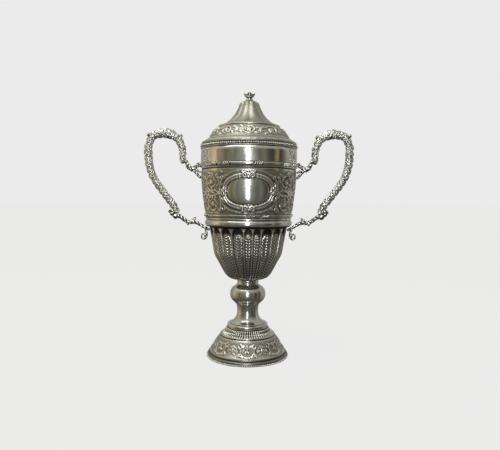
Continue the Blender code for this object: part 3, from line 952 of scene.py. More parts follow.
@dataclass
class Foot:
    """The domed foot, open underneath: step, fluted band, repousse dome and beaded rim."""

    columns: int = 540
    pitch: float = 0.00085
    motifs: int = 7
    flutes: int = 64
    flute_rows: Lines = ((0.0489, 0.0446), (0.0440, 0.0399))
    beads: int = 124
    bead_radius: float = 0.0016
    bead_height: float = 0.0024
    # Heights, the upper one of each pair first
    dome: tuple[float, float] = (0.0372, 0.0106)
    motif_height: float = 0.0232
    flute_shade_band: tuple[float, float] = (0.0492, 0.0396)
    rim_top: float = 0.0104
    rest: float = 0.0004
    flute_rise: float = 0.0010
    # How dark the rim is painted, as a dark reflection
    rim_painted_reflection: float = 0.50
    # Lines of painted shade: each one's height and how dark it is
    painted_crease_shade: Lines = ((0.0380, 1.0), (0.0087, 0.9), (0.0498, 0.7))

    def outline(self) -> Array:
        """The whole outline, outer side first.

        Returns:
            The outline as points (radius, height).
        """
        step = np.vstack(
            [[(0.0125, 0.0565)], arc((0.0325, 0.0543), (0.0026, 0.0022), 90, 0, 6), [(0.0350, 0.0512)]]
        )
        band = smooth(
            [(0.0347, 0.0497), (0.0366, 0.0479), (0.0382, 0.0446), (0.0402, 0.0422), (0.0440, 0.0402)], 3
        )
        edge = np.array([(0.0470, 0.0389), (0.0474, 0.0385), (0.0468, 0.0375)])
        dome = smooth(
            [(0.0474, 0.0370), (0.0496, 0.0342), (0.0520, 0.0302), (0.0545, 0.0260), (0.0573, 0.0212),
             (0.0598, 0.0172), (0.0630, 0.0134), (0.0650, 0.0112)], 3
        )
        rim = smooth(
            [(0.0657, 0.0102), (0.0661, 0.0096), (0.0661, 0.0088), (0.0663, 0.0078), (0.0672, 0.0068)], 3
        )
        lip = arc((0.0677, 0.0034), (0.0018, 0.0034), 80, -75, 10)
        inside = [
            (0.0668, 0.0), (0.0648, 0.0045), (0.0598, 0.0085), (0.0478, 0.0310), (0.0335, 0.0440),
            (0.0325, 0.0530)
        ]
        return np.vstack([step, band, edge, dome, rim, lip, inside, [(0.0125, 0.0541)]])

    def inner(self, points: Array) -> Array:
        """Which points lie past the lowest one, on the inner side."""
        return np.arange(len(points)) > np.argmin(points[:, 1])

    def motif(self, patch: Patch, draw: np.random.Generator) -> None:
        """A medallion of two stems round a trefoil, with sprays of leaves beside it.

        Args:
            patch: The window that it is drawn in.
            draw: Where the small irregularities come from.
        """
        wobble = draw.uniform(-0.0004, 0.0004, 8)
        for side in (1.0, -1.0):
            mirror = np.array([side, 1.0])
            stem = smooth(
                [(0.0, -0.0112), (0.0062, -0.0098), (0.0106 + wobble[0], -0.0046), (0.0112, 0.0018),
                 (0.0082, 0.0068), (0.0040, 0.0078), (0.0030, 0.0044)], 4
            )
            patch.stroke(stem * mirror, np.linspace(0.0013, 0.0008, len(stem)), 0.0013, 0.3)
            heading = 90.0 - side * 90.0
            for base, turn, length, curl in (
                ((0.0112, 0.0010), 42.0, 0.0085, 50.0),
                ((0.0108, -0.0046), -30.0, 0.0090, -45.0),
                ((0.0085, 0.0066), 62.0, 0.0062, -30.0),
                ((0.0062, -0.0096), -12.0, 0.0080, 40.0),
            ):
                start = np.array(base) * mirror
                patch.leaf(start, heading + side * turn, length, 0.0018, 0.0014, side * curl)
            outer = coil(
                (side * 0.0205, -0.0006 + wobble[1]), (0.0048, 0.0058), 90.0 - side * 120.0, side * 1.2, 0.35
            )
            patch.stroke(outer, np.linspace(0.0010, 0.0007, len(outer)), 0.0011)
            patch.bead((side * 0.0205, -0.0006 + wobble[1]), 0.0016, 0.0014)
            patch.leaf((side * 0.0205, -0.0066), heading + side * 10.0, 0.0062, 0.0013, 0.0011, side * 30.0)
            patch.leaf((side * 0.0205, 0.0054), heading + side * 25.0, 0.0055, 0.0013, 0.0011, -side * 30.0)
        patch.rosette((0.0, -0.0008), 0.0048 + wobble[2], 0.0019, 3, 90.0)
        patch.leaf((0.0, 0.0030), 90.0, 0.0078, 0.0020, 0.0016)
        patch.spray((0.0, -0.0108), 270.0, 0.0042, 0.0011, 3)

    def build(self, studs: Studs) -> None:
        """Makes the foot's pieces.

        Args:
            studs: Where the beads come from.
        """
        form = TurnedForm(self.columns, spaced(self.outline(), self.pitch, self.inner))
        top, bottom = (form.row_at(height) for height in self.dome)
        work = Chasing(form, top, bottom)
        draw = np.random.default_rng(SEED + 1)
        middle = form.along[form.row_at(self.motif_height)]
        for k in range(self.motifs):
            self.motif(work.patch(360.0 * k / self.motifs, middle, 0.030), draw)
        outer = form.row_at(self.rest)
        dents = form.dented(0.00010, SEED + 2)
        dents[outer:] = 0.0
        lower = np.clip((0.0360 - form.outline[:, 1:]) / 0.0120, 0.0, 1.0)
        level = work.level * (0.50 + 0.35 * lower) + dents
        dark = hollows_and_highlights(work.level, 5, 0.00060)
        # The band's ground round the flute rows painted with shade
        dark[slice(*map(form.row_at, self.flute_shade_band))] = 0.95
        flute = 0.5 + 0.5 * np.cos(self.flutes * form.turns)
        for high, low in self.flute_rows:
            rows = slice(form.row_at(high), form.row_at(low))
            level[rows] += self.flute_rise * flute
            # Painted highlights on the flutes and painted shade between them
            dark[rows] = 1.0 - 2.0 * flute
        # The rim painted darker, as a dark reflection
        dark[form.row_at(self.rim_top) : outer] = self.rim_painted_reflection
        # Lines of painted shade round the foot
        form.painted_shade_lines(dark, self.painted_crease_shade)
        maker = MeshMaker()
        maker.grid(form.rings(level), dark, work.ground(0.0006) * 0.7, loop=True)
        keep(maker.make("foot_shell", FOOT_FINISH), "foot")
        beads = spread(form, self.bead_height, self.beads, 0.0001)
        size = (self.bead_radius,) * 3
        keep(studs.set_in("foot_beads", beads, size, BRIGHT_FINISH), "foot")


@dataclass
class Stem:
    """The turned stem, bored up from below: collar, knop, waist and flare."""

    rows: int = 260
    steps: int = 128

    def outline(self) -> Array:
        """The whole outline, from the axis at the top to the axis inside.

        Returns:
            The outline as points (radius, height).
        """
        collar = [
            (0.0, 0.1316), (0.0186, 0.1316), (0.0187, 0.1300), (0.0184, 0.1260), (0.0186, 0.1238),
            (0.0204, 0.1226)
        ]
        knop = smooth(
            [(0.0214, 0.1216), (0.0256, 0.1189), (0.0290, 0.1148), (0.0306, 0.1104), (0.0308, 0.1056),
             (0.0297, 0.1000), (0.0268, 0.0956), (0.0234, 0.0926)], 4
        )
        waist = smooth(
            [(0.0226, 0.0912), (0.0203, 0.0896), (0.0193, 0.0868), (0.0184, 0.0810), (0.0183, 0.0760),
             (0.0191, 0.0702), (0.0211, 0.0656), (0.0242, 0.0616), (0.0286, 0.0585)], 4
        )
        flare = [(0.0304, 0.0576), (0.0310, 0.0568), (0.0125, 0.0568), (0.0125, 0.1290), (0.0, 0.1300)]
        return np.vstack([collar, knop, waist, flare])

    def build(self, lathe: Lathe) -> None:
        """Makes the stem."""
        stem = lathe.turn("stem_turned", self.outline(), self.rows, self.steps, STEM_FINISH)
        keep(stem, "stem")


@dataclass
class Cup:
    """The cup from the rim to the undercut: plain neck, reeds, frieze with its cartouche, and torus."""

    columns: int = 600
    pitch: float = 0.00085
    # Heights, the upper one of each pair first
    frieze: tuple[float, float] = (0.3200, 0.2468)
    middle: float = 0.2820
    cartouche_up: float = 0.0012
    frieze_radius: float = 0.0800
    # Each line of painted shade: its height and how dark it is
    painted_crease_shade: Lines = (
        (0.3228, 1.0), (0.3318, 0.6), (0.2403, 1.0), (0.2372, 0.6), (0.2466, 0.7), (0.2243, 1.0)
    )
    torus_shade: tuple[float, float] = (0.2268, 0.2242)
    # Half length, half width and rise of one turn of ribbon, then degrees between turns and their slant
    tie: tuple[float, float, float] = (0.0038, 0.0012, 0.0016)
    tie_pitch: float = 2.4
    tie_slant: float = 58.0
    boss: tuple[float, float] = (0.0352, 0.0226)
    boss_up: float = 0.0006
    boss_rise: float = 0.0026
    strap: tuple[float, float] = (0.0412, 0.0267)
    scroll_degrees: float = 48.5
    scroll_offset: float = 0.0175
    scroll_half: tuple[float, float] = (0.0164, 0.0146)

    # Bold strokes as (points of (degrees, height), half width), and buds as (degrees, height, radius)
    strokes: tuple = (
        (((40.0, 0.2770), (36.5, 0.2730), (33.5, 0.2680)), 0.0015),
        (((39.5, 0.3040), (39.0, 0.3000), (40.0, 0.2955)), 0.0013),
        (((44.0, 0.2830), (50.0, 0.2822), (57.0, 0.2760)), 0.0013),
        (((42.0, 0.2640), (39.5, 0.2585), (42.0, 0.2520)), 0.0012),
        (((48.0, 0.3130), (53.0, 0.3100), (56.0, 0.3030)), 0.0012),
        (((31.5, 0.2960), (32.5, 0.2915), (31.5, 0.2870)), 0.0014),
        (((-36.0, 0.2975), (-37.0, 0.2940), (-40.5, 0.2905)), 0.0014),
        (((-36.5, 0.2855), (-33.0, 0.2815)), 0.0014),
        (((-52.5, 0.3130), (-48.0, 0.3120), (-45.0, 0.3070)), 0.0013),
        (((-52.0, 0.2815), (-46.0, 0.2805), (-41.5, 0.2765)), 0.0015),
        (((-55.0, 0.2660), (-52.0, 0.2720), (-46.0, 0.2740)), 0.0012),
        (((-60.0, 0.2900), (-56.0, 0.2960), (-51.0, 0.2950)), 0.0012),
    )
    blobs: tuple = (
        (31.8, 0.3035, 0.0040), (43.5, 0.3070, 0.0042), (54.0, 0.3035, 0.0028), (50.0, 0.3005, 0.0026),
        (54.5, 0.2700, 0.0032), (42.5, 0.2620, 0.0030), (45.5, 0.2585, 0.0030), (42.5, 0.2520, 0.0030),
        (31.5, 0.2520, 0.0034), (-34.0, 0.3030, 0.0042), (-33.5, 0.3145, 0.0028), (-48.0, 0.3060, 0.0038),
        (-55.0, 0.2980, 0.0030), (-42.0, 0.2725, 0.0030), (-32.0, 0.2700, 0.0032), (-51.0, 0.2570, 0.0042),
        (-43.5, 0.2595, 0.0028), (-37.5, 0.2540, 0.0030), (-31.5, 0.2520, 0.0030),
    )

    def outline(self) -> Array:
        """The outer side from the rim down, then the inner side back up.

        Returns:
            The outline as points (radius, height).
        """
        neck = np.array(
            [(0.0826, 0.3580), (0.0834, 0.3579), (0.0836, 0.3574), (0.0836, 0.3450), (0.0836, 0.3320)]
        )
        upper_reed = arc((0.0830, 0.3287), (0.0018, 0.0029), 88, -88, 12)
        groove = np.array([(0.0824, 0.3246), (0.0818, 0.3226), (0.0826, 0.3210)])
        frieze = smooth(
            [(0.0829, 0.3200), (0.0826, 0.3110), (0.0821, 0.3025), (0.0812, 0.2940), (0.0798, 0.2820),
             (0.0782, 0.2680), (0.0755, 0.2480)], 2
        )
        lower_reed = np.vstack([arc((0.0745, 0.2442), (0.0017, 0.0020), 85, -85, 8), [(0.0738, 0.2404)]])
        fillet = arc((0.0735, 0.2384), (0.0013, 0.0014), 80, -80, 6)
        torus = arc((0.0700, 0.2306), (0.0058, 0.0064), 62, -80, 16)
        under = np.array([(0.0690, 0.2242), (0.0675, 0.2238), (0.0640, 0.2238)])
        inside = np.array(
            [(0.0640, 0.2250), (0.0716, 0.2330), (0.0800, 0.3050), (0.0820, 0.3300), (0.0820, 0.3578)]
        )
        return np.vstack([neck, upper_reed, groove, frieze, lower_reed, fillet, torus, under, inside])

    def cartouche(self, patch: Patch, plain: bool) -> None:
        """The polished boss in its strap frame, with clasps above and below and knots beside it.

        Args:
            patch: The window that it is drawn in.
            plain: Whether the small bosses are left out.
        """
        x, y = patch.x, patch.y
        q = np.hypot(x / self.boss[0], (y - self.boss_up) / self.boss[1])
        patch.raise_to(self.boss_rise * np.clip(1.0 - q**2, 0.0, None) ** 0.42)
        turn = np.arctan2(y / self.strap[1], x / self.strap[0])
        bow = 0.94 + 0.09 * np.abs(np.sin(2.0 * turn)) ** 0.8
        radial = self.strap[0] * self.strap[1] / np.hypot(
            self.strap[1] * np.cos(turn), self.strap[0] * np.sin(turn)
        )
        away = (np.hypot(x / self.strap[0], y / self.strap[1]) - bow) * radial * 0.95
        for offset, half, rise in (
            (-0.0018, 0.0015, 0.0022), (0.0018, 0.0015, 0.0020), (0.0088, 0.0009, 0.0012)
        ):
            patch.raise_to(rise * np.sqrt(np.clip(1.0 - ((away - offset) / half) ** 2, 0.0, None)))
        patch.raise_to(np.where((away > 0.002) & (away < 0.0040), 0.0006, 0.0))
        for side in (1.0, -1.0):
            for end in (1.0, -1.0):
                loop = coil((side * 0.0424, end * 0.0036), (0.0022, 0.0026), 0.0, 1.0, 1.0)
                patch.stroke(loop, 0.0010, 0.0028)
                patch.leaf(
                    (side * 0.0440, end * 0.0012), 90.0 - side * (90.0 - end * 24.0), 0.0085, 0.0017, 0.0020
                )
            patch.bead((side * 0.0424, 0.0), 0.0016, 0.0030)
        if plain:
            return
        for end in (1.0, -1.0):
            centre = end * self.strap[1] * 1.02
            for side in (1.0, -1.0):
                loop = coil((side * 0.0054, centre), (0.0036, 0.0040), 0.0, 1.0, 1.0)
                patch.stroke(loop, 0.0012, 0.0034)
                patch.bead((side * 0.0054, centre), 0.0014, 0.0034)
                heading = 90.0 - side * (90.0 - end * 30.0)
                patch.leaf(
                    (side * 0.0074, centre + end * 0.0030), heading, 0.0060, 0.0018, 0.0030,
                    side * end * 20.0
                )
                patch.leaf((side * 0.0070, centre - end * 0.0022), 90.0 - side * 90.0, 0.0056, 0.0017, 0.0030)
            patch.spray((0.0, centre - end * 0.0020), end * 90.0, 0.0084, 0.0036, 3)
            patch.leaf((0.0, centre - end * 0.0010), -end * 90.0, 0.0064, 0.0018, 0.0034)

    def scrollwork(self, patch: Patch, draw: np.random.Generator) -> None:
        """One quarter of a face: a coiled stem round a flower, with buds towards the cartouche.

        Args:
            patch: The window that it is drawn in.
            draw: Where the small irregularities come from.
        """
        wide, high = self.scroll_half
        nudge = draw.uniform(-0.0006, 0.0006, 10)
        swing = draw.uniform(-8.0, 8.0, 6)
        stem = smooth([(-0.0230, -0.0150), (-0.0160, -0.0166), (-0.0104, -0.0152)], 5)
        ring = coil((0.0, 0.0), (wide, high), -118.0, 1.35, 0.42)
        path = np.vstack([stem, ring])
        patch.stroke(path, np.linspace(0.0013, 0.0007, len(path)), np.linspace(0.0015, 0.0009, len(path)))
        patch.rosette((nudge[0], nudge[1]), 0.0050, 0.0016, 5, 70.0 + swing[0])
        for base, heading, length, curl in (
            ((0.0150, 0.0040), 62.0, 0.0100, 60.0),
            ((0.0136, -0.0090), -20.0, 0.0100, -50.0),
            ((0.0060, -0.0142), -32.0, 0.0090, 45.0),
            ((0.0020, 0.0136), 40.0, 0.0084, -40.0),
            ((-0.0120, 0.0092), 128.0, 0.0072, 50.0),
            ((0.0118, -0.0050), 150.0, 0.0052, 40.0),
            ((-0.0085, 0.0060), -60.0, 0.0050, -40.0),
            ((-0.0010, -0.0122), 100.0, 0.0050, -40.0),
        ):
            patch.leaf(base, heading + swing[1], length, 0.0021, 0.0018, curl)
        shoot = smooth([(-0.0172, -0.0160), (-0.0196, -0.0090), (-0.0182, 0.0000), (-0.0174, 0.0064)], 5)
        patch.stroke(shoot, np.linspace(0.0014, 0.0009, len(shoot)), 0.0014)
        patch.spray((-0.0174, 0.0050), 95.0 + swing[2], 0.0068, 0.0020, 3)
        twig = smooth([(-0.0190, -0.0030), (-0.0226, 0.0018), (-0.0262, 0.0060)], 4)
        patch.stroke(twig, 0.0010, 0.0012)
        patch.spray((-0.0258, 0.0056), 118.0 + swing[3], 0.0066, 0.0020, 3)
        patch.leaf((-0.0290, 0.0096), 170.0, 0.0110, 0.0016, 0.0014, 12.0)
        patch.rosette((-0.0232 + nudge[2], -0.0046 + nudge[3]), 0.0034, 0.0018, 4, 45.0)

    def side_scrolls(self, patch: Patch, draw: np.random.Generator) -> None:
        """The quarter's other end, towards the handle: a smaller coil and leaves.

        Args:
            patch: The window that it is drawn in.
            draw: Where the small irregularities come from.
        """
        swing = draw.uniform(-8.0, 8.0, 4)
        stem = smooth([(-0.0210, -0.0130), (-0.0120, -0.0168), (-0.0030, -0.0150)], 5)
        ring = coil((0.0, -0.0040), (0.0102, 0.0110), -106.0, 1.4, 0.36)
        path = np.vstack([stem, ring])
        patch.stroke(path, np.linspace(0.0016, 0.0009, len(path)), 0.0016, 0.25)
        patch.rosette((0.0, -0.0040), 0.0038, 0.0018, 5, 90.0 + swing[0])
        for base, heading, length, curl in (
            ((0.0092, 0.0030), 70.0, 0.0100, 45.0),
            ((-0.0070, 0.0046), 120.0, 0.0110, -50.0),
            ((0.0010, 0.0080), 85.0, 0.0080, 20.0),
            ((0.0080, -0.0120), -20.0, 0.0090, 40.0),
            ((-0.0120, -0.0160), 100.0, 0.0090, 40.0),
        ):
            patch.leaf(base, heading + swing[1], length, 0.0020, 0.0017, curl)

    def spot(self, degrees: float, height: float) -> tuple[float, float]:
        """A place on the frieze as distances across and up from the middle of its front."""
        return math.radians(degrees) * self.frieze_radius, height - self.middle

    def accents(self, patch: Patch) -> None:
        """The bolder strokes and buds that stand out on the front, left and right of the cartouche.

        Args:
            patch: The window that it is drawn in.
        """
        for line, half in self.strokes:
            points = np.array([self.spot(degrees, height) for degrees, height in line])
            path = smooth(points, 4)
            taper = np.sin(math.pi * np.linspace(0.12, 0.88, len(path)))
            patch.stroke(path, half * taper, 0.0021 * taper)
        for degrees, height, radius in self.blobs:
            patch.rosette(self.spot(degrees, height), radius, 0.0021, 3, 90.0 + 3.0 * degrees)

    def chase(self, form: TurnedForm) -> Chasing:
        """All of the frieze's work, at the front and, plainer, at the back.

        Args:
            form: The turned form that the work is on.

        Returns:
            The finished work.
        """
        work = Chasing(form, *map(form.row_at, self.frieze))
        draw = np.random.default_rng(SEED + 3)
        middle = form.along[form.row_at(self.middle + self.cartouche_up)]
        for face in (0.0, 180.0):
            self.cartouche(work.patch(face, middle, 0.056), face > 0.0)
            for side in (1.0, -1.0):
                for up in (1.0, -1.0):
                    along = form.along[form.row_at(self.middle + up * self.scroll_offset)]
                    place = face + side * self.scroll_degrees
                    self.scrollwork(work.patch(place, along, 0.036, side, up), draw)
                    outer = face + side * (self.scroll_degrees + 23.0)
                    self.side_scrolls(work.patch(outer, along, 0.026, side, up), draw)
        self.accents(work.patch(0.0, middle, 0.090))
        for side in (90.0, -90.0):
            for up in (1.0, -1.0):
                patch = work.patch(side, middle, 0.038, 1.0, up)
                patch.spray((0.0, 0.0040), 90.0, 0.0150, 0.0018, 5)
                patch.spray((0.0, 0.0190), 90.0, 0.0120, 0.0018, 3)
                patch.bead((0.0, 0.0), 0.0030, 0.0022)
        return work

    def build(self, studs: Studs) -> None:
        """Makes the cup's upper pieces.

        Args:
            studs: Where the beads come from.
        """
        form = TurnedForm(self.columns, spaced(self.outline(), self.pitch, self.plain))
        work = self.chase(form)
        dents = form.dented(0.00012, SEED + 4)
        dents[form.row_at(0.2242) :] = 0.0
        dark = hollows_and_highlights(work.level, 5, 0.0007)
        dark = np.where(dark > 0.0, 0.72 * dark, dark)
        work.level *= 1.0 - 0.5 * np.clip((np.abs(np.sin(form.turns)) - 0.80) / 0.12, 0.0, 1.0)
        # Lines of painted shade at the grooves, and painted shade under the torus
        form.painted_shade_lines(dark, self.painted_crease_shade)
        dark[slice(*map(form.row_at, self.torus_shade))] = 0.85
        # Painted shade on the reeds round each ribbon tie
        for degrees, height in self.tie_places():
            row = form.row_at(height)
            away = np.degrees(form.turns) - degrees - 3.6
            painted_tie_shade = np.abs((away + 180.0) % 360.0 - 180.0) < 5.4
            dark[row - 2 : row + 3, painted_tie_shade] = 1.0
        matt = work.ground(0.0006)
        matt *= 1.0 - self.boss_area(form)
        maker = MeshMaker()
        maker.grid(form.rings(work.level + dents), dark, matt, loop=True)
        keep(maker.make("cup_neck_and_frieze", BODY_FINISH), "cup_body")
        ties = []
        for degrees, height in self.tie_places():
            ties += self.turns_of_tie(form, degrees, height)
        keep(studs.set_in("cup_ribbon_ties", ties, self.tie, BRIGHT_FINISH), "cup_body")

    def plain(self, points: Array) -> Array:
        """Which points lie on the plain neck or the inner side."""
        neck = (points[:, 1] > 0.3335) & (points[:, 1] < 0.3570)
        return neck | (np.arange(len(points)) > np.argmax(points[:, 1] <= 0.2238) + 3)

    def boss_area(self, form: TurnedForm) -> Array:
        """Where the polished bosses are, front and back.

        Args:
            form: The turned form that the work is on.

        Returns:
            1 on them and 0 elsewhere.
        """
        across = np.minimum(np.abs(form.turns), math.pi - np.abs(form.turns)) * 0.0810
        up = form.outline[:, 1:] - self.middle - self.boss_up - self.cartouche_up
        q = np.hypot(across[None, :] / (self.boss[0] * 1.03), up / (self.boss[1] * 1.03))
        return (q < 1.0).astype(float)

    def tie_places(self) -> list[tuple[float, float]]:
        """Where the ribbon ties start, as (degrees, height)."""
        starts = ((-46.0, 0.3287), (-29.0, 0.3287), (7.0, 0.3287), (-1.0, 0.2438), (17.0, 0.2438))
        return [(first + turn, height) for first, height in starts for turn in (0.0, 90.0, 180.0, 270.0)]

    def turns_of_tie(self, form: TurnedForm, degrees: float, height: float) -> list[Place]:
        """Four turns of ribbon, slanting over a reed.

        Args:
            form: What the reed is on.
            degrees: Where the tie starts round the cup.
            height: Its height.

        Returns:
            Each turn's place and axes.
        """
        lean = Matrix.Rotation(math.radians(self.tie_slant), 3, "Z")
        places = []
        for k in range(4):
            centre, axes = form.place(degrees + self.tie_pitch * k, height, -0.0003)
            places.append((centre, axes @ lean))
        return places


@dataclass
class Bowl:
    """The bowl below the undercut: ribs between panels, each panel with a feather under a round arch."""

    columns: int = 520
    pitch: float = 0.00070
    panels: int = 20
    narrow: int = 2
    narrow_width: float = 12.8
    first_rib: float = -6.3
    depth: float = 0.0027
    spring: float = 0.2130
    arch: float = 0.0112
    foot: float = 0.1340
    barb_pitch: float = 0.0048
    barb_slope: float = 40.0
    barb_rise: float = 0.0010
    barb_painted_shade: float = 1.2
    barb_shine: float = 2.4
    feather_rise: float = 0.0013
    feather_top: float = 0.2120
    feather_taper: float = 0.0085
    pocket_foot: float = 0.2070
    pocket_run: float = 0.0080
    arch_top: float = 0.2205
    rib_flat: float = 0.0004
    bevel: float = 0.0015

    def outline(self) -> Array:
        """From the inner bottom up the inner side, over the wall and down the crest of the ribs.

        Returns:
            The outline as points (radius, height).
        """
        inside = [
            (0.0290, 0.1376), (0.0366, 0.1440), (0.0425, 0.1530), (0.0560, 0.1780), (0.0612, 0.2120),
            (0.0640, 0.2232)
        ]
        outer = smooth(
            [(0.0676, 0.2236), (0.0672, 0.2200), (0.0666, 0.2150), (0.0650, 0.2070), (0.0620, 0.1915),
             (0.0592, 0.1768), (0.0530, 0.1650), (0.0455, 0.1512), (0.0416, 0.1442), (0.0374, 0.1391),
             (0.0330, 0.1354), (0.0262, 0.1328)], 6
        )
        return np.vstack([[(0.0015, 0.1348)], inside, outer, [(0.0190, 0.1320), (0.0030, 0.1319)]])

    def inner(self, points: Array) -> Array:
        """Which points lie before the highest one, on the inner side."""
        return np.arange(len(points)) < np.argmax(points[:, 1])

    def ribs(self) -> list[float]:
        """The ribs' places, in degrees; the last one is the first one again.

        Returns:
            The places.
        """
        regular = (360.0 - self.narrow * self.narrow_width) / (self.panels - self.narrow)
        places = [self.first_rib]
        for panel in range(self.panels):
            places.append(places[-1] + (self.narrow_width if panel < self.narrow else regular))
        return places

    def across(self, form: TurnedForm) -> tuple[Array, Array]:
        """For each column, its offset from its panel's middle and the panel's half width, in radians.

        Args:
            form: The turned form that the work is on.

        Returns:
            The offsets and the half widths.
        """
        ribs = np.radians(self.ribs())
        turns = (form.turns - ribs[0]) % (2.0 * math.pi) + ribs[0]
        panel = np.clip(np.searchsorted(ribs, turns, side="right") - 1, 0, self.panels - 1)
        half = (ribs[panel + 1] - ribs[panel]) / 2.0
        return turns - ribs[panel] - half, half

    def feather_half(self, half: Array, radius: Array) -> Array:
        """A feather's half width in metres, where its panel is that wide."""
        return np.maximum(half * radius - 0.0024, 0.0008)

    def carve(self, form: TurnedForm, outer: int) -> tuple[Array, Array]:
        """The panels' level and their painted shade and highlights, on the rows from outer on.

        Args:
            form: The turned form of the bowl.
            outer: The row at which its outer side starts.

        Returns:
            The level, and the painted shade and highlights, at every row and column.
        """
        offset, half = self.across(form)
        radius = form.outline[:, :1]
        height = form.outline[:, 1:]
        x = np.abs(offset)[None, :] * radius
        wide = half[None, :] * radius
        above = np.clip((height - self.spring) / self.arch, 0.0, None)
        edge = np.where(above > 0.0, (1.0 - np.hypot(x / wide, above)) * wide, wide - x)
        inside = np.clip((edge - self.rib_flat) / self.bevel, 0.0, 1.0)
        inside = inside * inside * (3.0 - 2.0 * inside)
        fade = np.clip((height - self.foot) / 0.022, 0.0, 1.0) ** 0.6
        pocket = np.clip((height - self.pocket_foot) / self.pocket_run, 0.0, 1.0)
        level = -(self.depth * (0.25 + 0.75 * fade) + 0.0008 * pocket) * inside
        plume = self.feather_half(half[None, :], radius)
        tip = np.sqrt(np.clip((self.feather_top - height) / self.feather_taper, 0.0, 1.0))
        share = x / np.maximum(plume * np.maximum(tip, 0.05), 1e-4)
        body = self.feather_rise * np.sqrt(np.clip(1.0 - share**2, 0.0, None)) * (tip > 0.0)
        vein = 0.0008 * np.exp(-((x / 0.0006) ** 2)) * (tip > 0.0)
        slant = (form.along[:, None] + x * math.tan(math.radians(self.barb_slope))) / self.barb_pitch
        barb = 0.5 + 0.5 * np.cos(2.0 * math.pi * slant)
        beside_vein = np.clip((x - 0.0004) / 0.0006, 0.0, 1.0)
        plumed = np.clip((1.0 - share) / 0.12, 0.0, 1.0) * (tip > 0.0) * beside_vein
        level = level + (body - vein + self.barb_rise * barb * plumed) * (0.35 + 0.65 * fade)
        # Painted shade in the sunk panels beside the ribs and in the pockets under the arches
        rib_side_shade = np.exp(-(((edge - 0.0023) / 0.0011) ** 2))
        dark = np.clip(0.75 * rib_side_shade + 0.85 * pocket * inside, 0.0, 1.0) * (1.0 - plumed)
        # Painted shade between the barbs and painted highlights on them, stronger higher up
        shine = self.barb_shine * np.clip((height - 0.1250) / 0.0400, 0.65, 1.0)
        dark = dark + plumed * (self.barb_painted_shade - shine * barb)
        # Painted highlights along the ribs, fading above the arches and towards the bottom
        painted_highlight = np.clip(1.3 - edge / 0.0010, 0.0, 1.0)
        painted_highlight = painted_highlight * np.clip((self.arch_top - height) / 0.0030, 0.0, 1.0)
        painted_highlight = painted_highlight * np.clip((height - 0.1480) / 0.0300, 0.15, 1.0)
        # Painted shade above the arches under the torus, and towards the bottom of the bowl
        shade = 0.7 * np.clip((height - self.arch_top) / 0.0020, 0.0, 1.0)
        lowest = 0.12 * np.clip((0.1720 - height) / 0.0200, 0.0, 1.0) * (1.0 - plumed)
        dark = dark * (edge > 0.0008)
        dark = np.where(lowest + shade > 0.0, np.maximum(dark, np.maximum(lowest, shade)), dark) - painted_highlight
        keep_rows = (np.arange(len(level)) >= outer)[:, None]
        return level * keep_rows, dark * keep_rows

    def build(self) -> None:
        """Makes the bowl."""
        form = TurnedForm(self.columns, spaced(self.outline(), self.pitch, self.inner))
        outer = int(np.argmax(form.outline[:, 1])) - 1
        level, dark = self.carve(form, outer)
        dents = form.dented(0.00008, SEED + 5)
        dents[:outer] = 0.0
        maker = MeshMaker()
        maker.grid(form.rings(level + dents), dark, np.zeros_like(level))
        keep(maker.make("cup_bowl", BODY_FINISH), "cup_body")


